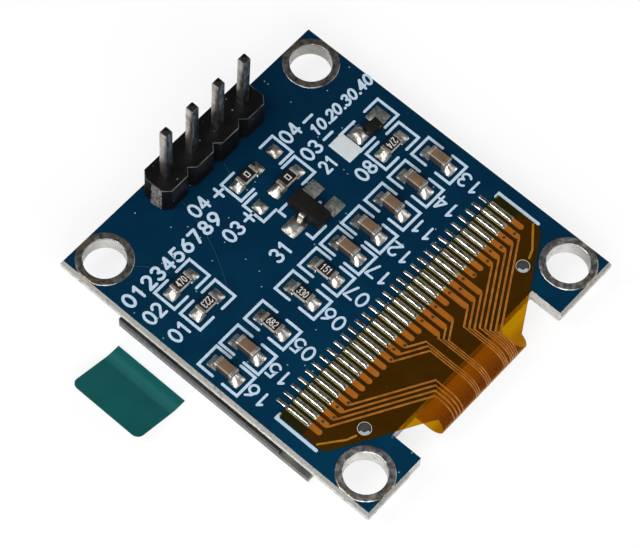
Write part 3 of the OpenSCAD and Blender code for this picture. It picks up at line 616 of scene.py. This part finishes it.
def hole_ring(piece, sx, sy, count=96):
    """Barrel and both rings of the hole in the corner (sx, sy)."""
    cx, cy = sx * (board_w / 2 - HOLE_INSET), sy * (board_l / 2 - HOLE_INSET)
    points = []
    for k in range(count):
        a = 2 * math.pi * k / count
        dx, dy = math.cos(a), math.sin(a)
        reach = RING_R
        if dx * sx > 0:
            reach = min(reach, HOLE_INSET / (dx * sx))
        if dy * sy > 0:
            reach = min(reach, HOLE_INSET / (dy * sy))
        swell = 0.045 + lumps(cx + 2 * dx, cy + 2 * dy, 0.6, 0.012)
        top = [(cx + r * dx, cy + r * dy, board_t + z) for r, z in
               ring_profile(reach, swell)]
        points += top + [(x, y, board_t - z) for x, y, z in top[:0:-1]]
    m = len(points) // count
    piece.add(points, [(k * m + j, k * m + (j + 1) % m,
                        (k + 1) % count * m + (j + 1) % m, (k + 1) % count * m + j)
                       for k in range(count) for j in range(m)])


rings = Piece(PLATING, BARREL)
for sx in (-1, 1):
    for sy in (-1, 1):
        hole_ring(rings, sx, sy)
for face in rings.bm.faces:
    if face.calc_center_median().z < (board_t - 0.02) * MM:
        face.material_index = 1
rings.make("hole_rings", "plating", "hole_plating")

# ---- pin header ----

house_low, house_high = box("header_housing")
pin_places = [middle(f"header_pin_{k}") for k in range(1, 5)]
pin_pitch = pin_places[1].x - pin_places[0].x
pin_y = pin_places[0].y
house_w = house_high.y - house_low.y


def housing_outline(inset):
    """Four chamfered squares in a row, walked anticlockwise."""
    half, side, chamfer = pin_pitch / 2, house_w / 2 - inset, 0.47
    near = []
    for p in pin_places:
        for dx in (-half, chamfer - half, half - chamfer, half):
            y = side - chamfer if abs(dx) == half else side
            near.append((p.x + dx, pin_y - y))
    near[0] = (near[0][0] + inset, near[0][1])
    near[-1] = (near[-1][0] - inset, near[-1][1])
    return near + [(x, 2 * pin_y - y) for x, y in near[::-1]]


housing = Piece(PLASTIC, SCAR, RIM_HIGHLIGHT)
bevel = 0.045
levels = [(board_t, 0.0)]
levels += [(house_high.z - bevel * (1 - math.sin(a)), bevel * (1 - math.cos(a)))
           for a in (0, math.pi / 6, math.pi / 3, math.pi / 2)]
levels.append((house_high.z, bevel + 0.02))
housing.add(*loft([[(x, y, z) for x, y in housing_outline(inset)] for z, inset in levels]))
# The bevel faces along the top edge take the painted highlight.
for face in housing.bm.faces:
    if house_high.z - bevel < face.calc_center_median().z / MM < house_high.z - 0.002:
        face.material_index = 2
# Crumbly scar on the half of the snapped end that lies towards the ribbon
rows, columns = 16, 36
scar_w = (house_w - 0.94) * 0.62
scar = []
for i in range(rows + 1):
    for j in range(columns + 1):
        z = board_t + 0.03 + (house_high.z - board_t - 0.1) * j / columns
        y = pin_y - (house_w - 0.94) / 2 + i / rows * (scar_w + lumps(z, 0, 0.4, 0.25))
        edge = min(i, rows - i, 2) / 2 * min(j, columns - j, 2) / 2
        rough = 0.08 + lumps(y, z, 0.13, 0.1) + lumps(y, z, 0.5, 0.08, 3.0)
        scar.append((house_low.x + 0.11 - edge * max(0.0, rough), y, z))
m = columns + 1
housing.add(scar, [(i * m + j, i * m + j + 1, (i + 1) * m + j + 1, (i + 1) * m + j)
                   for i in range(rows) for j in range(columns)], 1)
housing.make("header_body", "header_plastic", "header_housing")

for k, p in enumerate(pin_places, 1):
    low, high = box(f"header_pin_{k}")
    w = high.x - low.x
    pin = Piece(PIN)
    sections = []
    for z, size in [(low.z, 0.28), (low.z + 0.04, 0.34), (low.z + 0.45, w),
                    (high.z - 0.47, w), (high.z - 0.42, w - 0.01), (high.z - 0.3, w - 0.1),
                    (high.z - 0.04, 0.33), (high.z, 0.27)]:
        sections.append([(p.x + x, p.y + y, z) for x, y in rounded(size, size, 0.06, 2)])
    pin.add(*loft(sections))
    pin.make(f"pin_{k}", "pin", f"header_pin_{k}")

cones = Piece(SOLDER)
for p in pin_places:
    sections = []
    for z, r in [(board_t + 0.0, 0.5), (0.0, 0.5), (-0.01, 0.95), (-0.06, 0.9), (-0.2, 0.74),
                 (-0.45, 0.58), (-0.75, 0.48), (-1.0, 0.44), (-1.1, 0.36)]:
        sections.append([(p.x + r * math.cos(a), p.y + r * math.sin(a), z)
                         for a in [2 * math.pi * j / 32 for j in range(32)]])
    cones.add(*loft(sections))
cones.make("header_joints", "solder", "header_solder")

# ---- chip parts ----


def turn_of(node):
    low, high = box(node)
    return 0 if high.x - low.x > high.y - low.y else 90


def fillet(climb, half_x, seed):
    """Height of the solder round the end of a chip, over a pad that is 2 half_x long.
    The chip ends 0.3 from the pad's inner end."""
    def height(x, y):
        past = x + half_x - 0.3
        out = max(past, 0) / (2 * half_x - 0.3)
        under = max(-past, 0) / 0.3
        edge = (1 - (abs(y) / 0.5) ** 2) * (1 - out ** 4) * (1 - under ** 4)
        rise = 0.16 + (climb - 0.16) * (1 - out) ** 1.4
        return 0.02 + max(0, edge) * (rise + lumps(x, y, 0.35, 0.02, seed))
    return height


def chip_joints(name, place, turn, climb, seed, node, long_end=None):
    """The solder at both ends of a chip. The pad at long_end reaches further out."""
    joints = Piece(SOLDER)
    for s in (0, 180):
        half_x = 0.56 if s == long_end else 0.435
        reach = 0.5 + half_x
        a = math.radians(turn + s)
        at = (place.x + reach * math.cos(a), place.y + reach * math.sin(a), 0)
        joints.add(*patch(half_x, 0.5, fillet(climb, half_x, seed + s), board_t, 18), 0,
                   at, turn + s)
    joints.make(name, "solder", node)


def on(place, turn, x, y):
    """The point that lies x along and y across from place, on a part turned by turn."""
    c, s = math.cos(math.radians(turn)), math.sin(math.radians(turn))
    return (place.x + c * x - s * y, place.y + s * x + c * y, 0)


# Each resistor's number and how far its writing is turned from the +X direction
CODES = [("223", 180), ("470", 0), ("0", 0), ("0", 0), ("682", 270), ("330", 270),
         ("151", 270), ("274", 180)]
CODE_H = 0.5
for k, (code, code_turn) in enumerate(CODES, 1):
    node = f"resistor_{k}"
    place, turn = middle(node), turn_of(node)
    low, high = box(node)
    chip = Piece(CERAMIC, TIN, GLAZE, CODE)
    at = (place.x, place.y, 0)
    chip.add(*block(1.56, 0.76, low.z + 0.015, high.z - 0.03, 0.03), 0, at, turn)
    for s in (-1, 1):
        chip.add(*block(0.3, 0.8, low.z, high.z - 0.005, 0.045), 1,
                 on(place, turn, s * 0.65, 0), turn)
    chip.add(*block(1.06, 0.75, high.z - 0.05, high.z, 0.02, 0.04), 2, at, turn)
    if len(code) > 1:
        narrow = 0.62
        reach = CODE_H * narrow * (0.88 * len(code) - 0.26) / 2
        write(chip, code, on(place, code_turn, -reach, -CODE_H / 2), CODE_H, 0.06,
              high.z - 0.002, high.z + 0.0008, code_turn, 3, narrow=narrow)
    else:
        frame_path = [(-0.13, -0.2), (0.13, -0.2), (0.13, 0.2), (-0.13, 0.2)]
        chip.add(*stroke(frame_path, 0.07, high.z - 0.002, high.z + 0.0008, True), 3, at,
                 turn)
    chip.make(f"resistor_chip_{k}", "resistor", node)
    chip_joints(f"resistor_joints_{k}", place, turn, 0.38, k * 3.1,
                f"resistor_solder_{k}", 180 if k == 3 else None)

for k in range(1, 8):
    node = f"capacitor_{k}"
    place, turn = middle(node), turn_of(node)
    low, high = box(node)
    chip = Piece(BROWN, TIN)
    chip.add(*block(1.3, 0.76, low.z + 0.02, high.z - 0.012, 0.11), 0,
             (place.x, place.y, 0), turn)
    for s in (-1, 1):
        chip.add(*block(0.3, 0.8, low.z, high.z, 0.07), 1, on(place, turn, s * 0.65, 0),
                 turn)
    chip.make(f"capacitor_chip_{k}", "capacitor", node)
    chip_joints(f"capacitor_joints_{k}", place, turn, 0.5, k * 5.3,
                f"capacitor_solder_{k}")


def pillow(half_x, half_y, top, seed, rough=0.025):
    """Height of a lump of solder over a bare pad or a lead."""
    def height(x, y):
        edge = (1 - min(1, abs(x) / half_x) ** 2.4) * (1 - min(1, abs(y) / half_y) ** 2.4)
        return 0.02 + edge * (top + lumps(x, y, 0.35, rough, seed))
    return height


spare = Piece(SOLDER)
low, high = box("bare_pad_solder")
pad = (0.435, 0.5)
for x, y, seed in [(low.x + pad[0], low.y + pad[1], 1.7), (high.x - pad[0], high.y - pad[1], 4.2)]:
    spare.add(*patch(*pad, pillow(*pad, 0.24, seed), board_t), 0, (x, y, 0))
spare.make("bare_pads", "solder", "bare_pad_solder")

# ---- diode and regulator ----

DIODE_L, DIODE_W, DIODE_TURN = 1.15, 0.85, -9
place = middle("diode_body")
low, high = box("diode_body")
body = Piece(MOULDING)
body.add(*block(DIODE_L, DIODE_W, low.z, high.z, 0.05, draft=0.03, waist=0.2), 0,
         (place.x, place.y, 0), DIODE_TURN)
body.make("diode_package", "moulding", "diode_body")
lead_high = box("diode_leads")[1].z
leads = Piece(LEAD)
for s in (-1, 1):
    leads.add(*block(0.5, 0.32, low.z, lead_high, 0.03), 0,
              on(place, DIODE_TURN, s * (DIODE_L / 2 + 0.2), 0), DIODE_TURN)
leads.make("diode_lead_ends", "lead", "diode_leads")
low, high = box("diode_solder")
half = (high.y - low.y) / 2
joints = Piece(SOLDER, MATT_SOLDER)
for x, top, seed, material, pull in [(low.x + half, 0.42, 0.4, 0, 0.3),
                                     (high.x - half, 0.12, 8.8, 1, 0.1)]:
    joints.add(*patch(half, half, pillow(half, half, top, seed), board_t, 20, pull),
               material, (x, low.y + half, 0))
joints.make("diode_joints", "solder", "diode_solder")

place = middle("regulator_body")
low, high = box("regulator_body")
side = (high.x - low.x) / 2
body = Piece(MOULDING)
body.add(*block(2 * side, high.y - low.y, low.z, high.z, 0.05, draft=0.04, waist=0.4),
         0, (place.x, place.y, 0))
body.make("regulator_package", "moulding", "regulator_body")

# Turn and place of each lead, then its pad's gap, half size, top, material and pull
LEADS = [(180, 0.0, 0.0, (0.8, 0.625), 0.3, 0, 0.3), (0, -0.95, 0.2, (0.65, 0.55), 0.07, 1, 0.1),
         (0, 0.95, 0.2, (0.65, 0.55), 0.07, 1, 0.1)]
LEAD_PATH = [(-0.05, 0.56), (0.1, 0.56), (0.17, 0.53), (0.22, 0.45), (0.26, 0.17),
             (0.31, 0.09), (0.4, 0.07), (0.55, 0.06)]
leads = Piece(LEAD)
joints = Piece(SOLDER, MATT_SOLDER)
for turn, y, gap, pad, top, material, pull in LEADS:
    sections = [[(side + x, dy, board_t + z + dz) for dy, dz in
                 [(-0.21, -0.06), (0.21, -0.06), (0.21, 0.06), (-0.21, 0.06)]]
                for x, z in LEAD_PATH]
    leads.add(*loft(sections), 0, (place.x, place.y + y, 0), turn)
    joints.add(*patch(*pad, pillow(*pad, top, y * 2.2, 0.03), board_t, 20, pull), material,
               on(place, turn, side + gap + pad[0], y))
leads.make("regulator_lead_ends", "lead", "regulator_leads")
joints.make("regulator_joints", "solder", "regulator_solder")

# ---- ribbon ----

rib_low, rib_high = box("ribbon")
con_low, con_high = box("ribbon_contacts")
run_end = box("ribbon_solder")[1].y
rib_t = 0.1
rib_end = rib_high.y
rib_top = con_low.z
rib_half = rib_high.x
CONTACTS = 30
contact_w = 0.42
pitch = (con_high.x - con_low.x - contact_w) / (CONTACTS - 1)
fold_r = (rib_top - rib_low.z) / 2
fold_z = rib_low.z + fold_r
fold_y = rib_low.y + fold_r
neck_half, slope = 4.25, math.tan(math.radians(30))
shoulder_y = rib_end - 3.87
flap = -fold_y + box("driver_chip")[0].y
contact_x = [(k - (CONTACTS - 1) / 2) * pitch for k in range(CONTACTS)]


def half_width(y):
    """Half the ribbon's width at y, with the round shoulder and the round inner corner."""
    if y >= shoulder_y + 0.577:
        return rib_half
    straight = rib_half - (shoulder_y - y) / slope
    if y > shoulder_y - 0.5:
        t = (shoulder_y + 0.577 - y) / 1.077
        a = rib_half * (1 - t) + (rib_half - 0.5 / slope) * t
        return min(rib_half, a + 0.29 * math.sin(math.pi * t) ** 0.8)
    return max(neck_half, straight)


def wrap(x, s, z):
    """Lays a point of the flat pattern, z above the ribbon's underside, onto the
    folded ribbon."""
    lift = z - rib_t
    if s >= fold_y:
        return (x, s, rib_top + lift)
    turn = (fold_y - s) / fold_r
    if turn <= math.pi:
        r = fold_r + lift
        return (x, fold_y - r * math.sin(turn), fold_z + r * math.cos(turn))
    return (x, fold_y + (turn - math.pi) * fold_r, fold_z - fold_r - lift)


def unwrap_width(s):
    turn = (fold_y - s) / fold_r
    if turn <= 0:
        return half_width(s)
    if turn < math.pi / 2:
        return half_width(fold_y - fold_r * math.sin(turn))
    return neck_half


rows = [rib_end - 0.02 - k * 0.3 for k in range(14)]
rows = [s for s in rows if s > shoulder_y + 0.6]
rows += [shoulder_y + 0.577 - 1.077 * k / 10 for k in range(11)]
rows += [shoulder_y - 0.5 - (shoulder_y - 0.5 - fold_y) * k / 12 for k in range(1, 13)]
fold_l = math.pi * fold_r
rows += [fold_y - fold_l * k / 40 for k in range(1, 41)]
rows += [fold_y - fold_l - flap * k / 6 for k in range(1, 7)]
rows.insert(0, rib_end)
outline = [Vector((unwrap_width(s), s)) for s in rows]
outline += [Vector((-unwrap_width(s), s)) for s in rows[::-1]]
edges = [(i, (i + 1) % len(outline)) for i in range(len(outline))]
verts = list(outline)
peg = [Vector((s * 8.1, rib_end - 4.73)) for s in (-1, 1)]
for centre in peg:
    start = len(verts)
    for k in range(28):
        a = 2 * math.pi * k / 28
        verts.append(centre + 0.45 * Vector((math.cos(a), math.sin(a))))
    edges += [(start + k, start + (k + 1) % 28) for k in range(28)]
cross = [-1 + 2 * k / 12 for k in range(1, 12)]
for s in rows[1:-1]:
    for t in cross:
        point = Vector((t * unwrap_width(s), s))
        if all((point - centre).length > 0.6 for centre in peg):
            verts.append(point)
flat, _, tris, _, _, _ = delaunay_2d_cdt(verts, edges, [], 0, 1e-6)


def inside(tri):
    centre = sum((flat[i] for i in tri), Vector((0, 0))) / 3
    if any((centre - c).length < 0.44 for c in peg):
        return False
    return abs(centre.x) <= unwrap_width(centre.y) + 1e-3


tris = [t for t in tris if inside(t)]
borders = {}
for t in tris:
    for i in range(3):
        pair = (t[i], t[(i + 1) % 3])
        if pair[::-1] in borders:
            del borders[pair[::-1]]
        else:
            borders[pair] = True
n = len(flat)
points = [wrap(p.x, p.y, rib_t) for p in flat] + [wrap(p.x, p.y, 0) for p in flat]
faces = [tuple(t) for t in tris] + [tuple(i + n for i in t)[::-1] for t in tris]
faces += [(a, b, b + n, a + n) for a, b in borders]
film = Piece(RIBBON)
film.add(points, faces)
loose = [v for v in film.bm.verts if not v.link_faces]
bmesh.ops.delete(film.bm, geom=loose, context="VERTS")
film.make("ribbon_film", "ribbon", "ribbon")

# Tinned contacts, with the solder that runs out past the ribbon's end
strips = Piece(STRIP, PAD)
for k, x in enumerate(contact_x):
    strips.add(*loft([[(x + dx, y, rib_top + z) for dx, z in
                       [(-0.24, 0), (0.24, 0), (0.22, 0.02), (-0.22, 0.02)]]
                      for y in (con_low.y, rib_end)]), 1)
    sections = []
    length = run_end - con_low.y
    for j in range(41):
        y = con_low.y + length * j / 40
        past = y - rib_end
        wave = 1 + lumps(x, y, 0.45, 0.12, k)
        if past < 0:
            base, half = rib_top, 0.17
            high = 0.105 * wave * (0.5, 0.8, 1.0)[min(j, 2)]
        else:
            t = past / (run_end - rib_end)
            base, half = board_t, 0.18 - 0.05 * t
            step = max(0.0, 1 - past / 0.12) * 0.15
            high = (0.09 * (1 - t) ** 0.5 + 0.02) * wave + step
        side = lumps(x, y, 0.6, 0.008, k + 50)
        sections.append([(x + side + half * math.cos(a), y, base + high * math.sin(a))
                         for a in [math.pi * i / 10 for i in range(11)]])
    strips.add(*loft(sections))
strips.make("tinned_contacts", "contact", "ribbon_contacts", "ribbon_solder")

# Copper under the film. Each group of traces: first contact, number, place in the
# neck, distance there, how far the stub runs on before it slants, and its width
STUB_L = 0.95
GROUPS = [(1, 4, -3.2, 0.3, 0, 0.42), (10, 3, -0.92, 0.17, 0, 0.42),
          (15, 3, 0.15, 0.17, 1, 0.4), (19, 3, 1.95, 0.17, 1.1, 0.4),
          (24, 5, 2.6, 0.17, 0.25, 0.42)]
copper = Piece(COPPER, HOLE, TRACE)
stub_start = con_low.y - STUB_L
fold_end = fold_y - fold_l * 0.6
ends = {}
for first, number, neck, step, run_on, width in GROUPS:
    for j in range(number):
        x, target = contact_x[first + j], neck + j * step
        knee = stub_start - run_on
        low_y = knee - abs(target - x) * slope
        ends[first + j] = knee
        copper.add(*stroke([(x, knee + 0.05), (x, knee), (target, low_y)], 0.14, rib_t,
                           rib_t + 0.01, lay=wrap), 2)
        path = [(target, low_y)]
        while path[-1][1] > fold_end:
            path.append((target, path[-1][1] - 0.12))
        copper.add(*stroke(path, 0.09, rib_t, rib_t + 0.008, lay=wrap), 2)
for k, x in enumerate(contact_x):
    knee = ends.get(k, stub_start)
    copper.add(*stroke([(x, con_low.y + 0.1), (x, knee + 0.19)], 0.42, rib_t,
                       rib_t + 0.014, lay=wrap, cap=10))
    if k in ends or k == 22:
        y = stub_start + (0.52 if k % 2 else 0.17)
        spot = [(x + 0.02, y), (x + 0.04, y - 0.01)]
        copper.add(*stroke(spot, 0.21, rib_t + 0.01, rib_t + 0.017, lay=wrap), 1)
copper.make("ribbon_copper", "copper", "ribbon_traces")

guard = Piece(GUARD, CODE)
for s in (-1, 1):
    path = [(rib_half - 0.12, rib_end - 3.2), (rib_half - 1.1, rib_end - 3.96),
            (rib_half - 1.65, rib_end - 4.4), (rib_half - 2.3, rib_end - 4.66)]
    guard.add(*stroke([(s * x, y) for x, y in path], 0.15, rib_t, rib_t + 0.01, lay=wrap))
for x, y in peg:
    guard.add(*stroke(arc(x, y, 0.47, 0.47, 0, 360, 32)[:-1], 0.03, rib_t, rib_t + 0.006,
                      closed=True, lay=wrap), 1)
guard.make("ribbon_guard", "ribbon")

# ---- board print ----

ink = Piece(INK, BLOCK_INK, SCRATCH, SHADE)
ink_low, ink_high = board_t, board_t + 0.02
line_w = 0.2
SHIFT = 0.07


def brackets(at, half_l, half_w, gap_left, gap_right, turn=0):
    """Two facing brackets, whose legs reach from each end to the gap."""
    for s, gap in ((-1, gap_left), (1, gap_right)):
        path = [(gap, half_w), (s * half_l, half_w), (s * half_l, -half_w), (gap, -half_w)]
        ink.add(*stroke(path, line_w, ink_low, ink_high), 0, at, turn)


for k in (1, 2, 5, 6, 7, 8):
    place = middle(f"resistor_{k}")
    brackets((place.x + SHIFT, place.y, 0), 1.71, 0.9, -0.44, 0.44, turn_of(f"resistor_{k}"))
for k in range(1, 8):
    place = middle(f"capacitor_{k}")
    brackets((place.x + SHIFT, place.y, 0), 1.71, 0.9, -0.44, 0.44, 90)
for k, side in ((3, -1), (4, 1)):
    place = middle(f"resistor_{k}")
    brackets((place.x + SHIFT + side * 0.935, place.y, 0), 2.6, 0.92, -1.34, 1.34)

place = middle("diode_solder")
brackets((place.x + SHIFT, place.y, 0), 1.96, 0.93, -0.5, 0.58)
ink.add(*block(1.4, 1.98, ink_low, ink_high + 0.002, 0.008, 0.05), 1,
        (place.x - 2.37, place.y, 0))

place = middle("regulator_body")
for s, leg, reach in ((1, 0.98, 0.85), (-1, 0.98, 1.3)):
    path = [(-1.3, s * leg), (-1.3, s * 1.53), (reach - 1.3, s * 1.53)]
    ink.add(*stroke(path, line_w, ink_low, ink_high), 0, (place.x, place.y, 0))
ink.add(*stroke([(1.04, -0.05), (1.1, -0.05)], 0.26, ink_low, ink_high), 0,
        (place.x, place.y, 0))
for s in (-1, 1):
    edge = rib_half + 0.2
    path = [(s * (edge - 0.35), rib_end + 0.05), (s * edge, rib_end + 0.05),
            (s * edge, rib_end - 3.4)]
    ink.add(*stroke(path, 0.24, ink_low, ink_high))
# Shade and a pale crescent on the board below each of the ribbon's peg holes
for x, y in peg:
    ink.add(*stroke([(x - 0.01, y), (x + 0.01, y)], 1.0, ink_low, board_t + 0.004, cap=16), 3)
    ink.add(*stroke(arc(x, y, 0.31, 0.31, 170, 275), 0.2, ink_low, board_t + 0.008))

# Start, end and bend of each scratch
SCRATCHES = [((-3.6, 11.2), (-6.9, 3.4), 0.6), ((-9.6, 9.9), (-8.2, 7.6), 0.2),
             ((0.4, 10.6), (-0.4, 9.3), 0.15)]
# Plain numbers stand where a maker's board has words
LABELS = [("resistor_1", "01", -3.35, -0.47), ("resistor_2", "02", -3.5, -0.63),
          ("resistor_8", "08", -3.33, -0.45),
          ("regulator_body", "31", -4.2, -1.1), ("resistor_3", "03", 2.17, -0.12),
          ("resistor_3", "03", -6.1, -0.45), ("resistor_4", "04", 3.9, -0.32),
          ("resistor_4", "04", -4.57, 0.38)]
for node, text, dx, dy in LABELS:
    place = middle(node)
    write(ink, text, (place.x + dx, place.y + dy), 1.0, 0.19, ink_low, ink_high,
          narrow=0.93)
place = middle("diode_solder")
write(ink, "21", (place.x - 4.72, place.y - 0.44), 0.93, 0.18, ink_low, ink_high, narrow=0.8)
# Plus and minus marks beside the two selectors
for x, y in [(-1.5, 9.35), (-1.5, 6.6)]:
    ink.add(*stroke([(x - 0.42, y), (x + 0.42, y)], line_w, ink_low, ink_high))
    ink.add(*stroke([(x, y - 0.42), (x, y + 0.42)], line_w, ink_low, ink_high - 0.001))
for x, y in [(6.92, 8.77), (6.85, 6.85)]:
    ink.add(*stroke([(x - 0.42, y), (x + 0.42, y)], line_w, ink_low, ink_high))
# Hair-thin scratches in the mask, from below the header
for start, end, bend in SCRATCHES:
    path = [tuple(Vector(start).lerp(Vector(end), t / 8) +
                  Vector((bend * math.sin(math.pi * t / 8), 0))) for t in range(9)]
    ink.add(*stroke(path, 0.035, ink_low, board_t + 0.003), 2)
for kind, first, numbers in [("resistor", "0", (5, 6, 7)), ("capacitor", "1", range(1, 8))]:
    for k in numbers:
        place = middle(f"{kind}_{k}")
        write(ink, f"{first}{k}", (place.x + 0.6, -3.45), 1.02, 0.17, ink_low, ink_high, 90)
write(ink, "0123456789", (-11.9, 7.72), 0.98, 0.21, ink_low, ink_high, spacing=0.075)
write(ink, "10.20.30.40", (6.3, 7.42), 0.78, 0.185, ink_low, ink_high, slant=0.25,
      narrow=0.95)
ink.make("board_ink", "ink", "board_print")

# ---- display, film and tab ----

for node, material in [("foam_tape", FOAM), ("cover_glass", GLASS), ("drying_sheet", DRIER),
                       ("pixel_layer", PIXELS), ("front_glass", FRONT),
                       ("driver_chip", SILICON), ("polariser", POLARISER),
                       ("protective_film", FILM), ("pull_tab", TAB)]:
    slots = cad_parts[node].data.materials
    slots.clear()
    slots.append(material)

# ---- floor, light and camera ----

floor_z = cad_bounds[0][2] - 0.00002
mesh = bpy.data.meshes.new("floor")
mesh.from_pydata([(x, y, floor_z) for x, y in [(-2, -2), (2, -2), (2, 2), (-2, 2)]], [],
                 [(0, 1, 2, 3)])
floor = bpy.data.objects.new("floor", mesh)
bpy.context.scene.collection.objects.link(floor)
material = bpy.data.materials.new("floor_white")
material.use_nodes = True
tree = material.node_tree
tree.nodes.clear()
diffuse = tree.nodes.new("ShaderNodeBsdfDiffuse")
diffuse.inputs[0].default_value = (0.86, 0.86, 0.86, 1)
glow = tree.nodes.new("ShaderNodeEmission")
path = tree.nodes.new("ShaderNodeLightPath")
share = tree.nodes.new("ShaderNodeMath")
share.operation = "MULTIPLY"
share.inputs[1].default_value = 0.8
blend = tree.nodes.new("ShaderNodeMixShader")
out = tree.nodes.new("ShaderNodeOutputMaterial")
tree.links.new(path.outputs["Is Camera Ray"], share.inputs[0])
tree.links.new(share.outputs[0], blend.inputs[0])
tree.links.new(diffuse.outputs[0], blend.inputs[1])
tree.links.new(glow.outputs[0], blend.inputs[2])
tree.links.new(blend.outputs[0], out.inputs[0])
mesh.materials.append(material)

scene = bpy.context.scene
world = bpy.data.worlds.new("studio")
world.use_nodes = True
scene.world = world
tree = world.node_tree
tree.nodes.clear()
dim = tree.nodes.new("ShaderNodeBackground")
dim.inputs[0].default_value = (1, 1, 1, 1)
dim.inputs[1].default_value = 0.14
white = tree.nodes.new("ShaderNodeBackground")
white.inputs[0].default_value = (1, 1, 1, 1)
path = tree.nodes.new("ShaderNodeLightPath")
blend = tree.nodes.new("ShaderNodeMixShader")
out = tree.nodes.new("ShaderNodeOutputWorld")
tree.links.new(path.outputs["Is Camera Ray"], blend.inputs[0])
tree.links.new(dim.outputs[0], blend.inputs[1])
tree.links.new(white.outputs[0], blend.inputs[2])
tree.links.new(blend.outputs[0], out.inputs[0])


def softbox(name, azimuth, elevation, size, power, distance=0.5):
    a, e = math.radians(azimuth), math.radians(elevation)
    towards = Vector((math.cos(a) * math.cos(e), math.sin(a) * math.cos(e), math.sin(e)))
    lamp = bpy.data.lights.new(name, "AREA")
    lamp.shape = "RECTANGLE"
    lamp.size, lamp.size_y = size
    lamp.energy = power
    obj = bpy.data.objects.new(name, lamp)
    obj.location = towards * distance
    obj.rotation_euler = towards.to_track_quat("Z", "Y").to_euler()
    scene.collection.objects.link(obj)


softbox("key", 217, 38, (0.5, 0.3), 3.2)
softbox("side", 147, 58, (0.1, 0.3), 1.0)
softbox("rim", 320, 30, (0.35, 0.25), 0.65)

scene.view_settings.view_transform = "Standard"
camera = bpy.data.cameras.new("camera")
camera.sensor_width = 36
camera.lens = 172.54
camera.clip_start = 0.01
eye = bpy.data.objects.new("camera", camera)
right = Vector((0.660652, -0.749538, 0.041614))
up = Vector((0.653562, 0.601558, 0.459330))
back = right.cross(up)
eye.matrix_world = Matrix([(right[i], up[i], back[i], place_i * MM) for i, place_i in
                           enumerate((-77.1567, -56.3671, 182.9578))] + [(0, 0, 0, 1)])
scene.collection.objects.link(eye)
scene.camera = eye
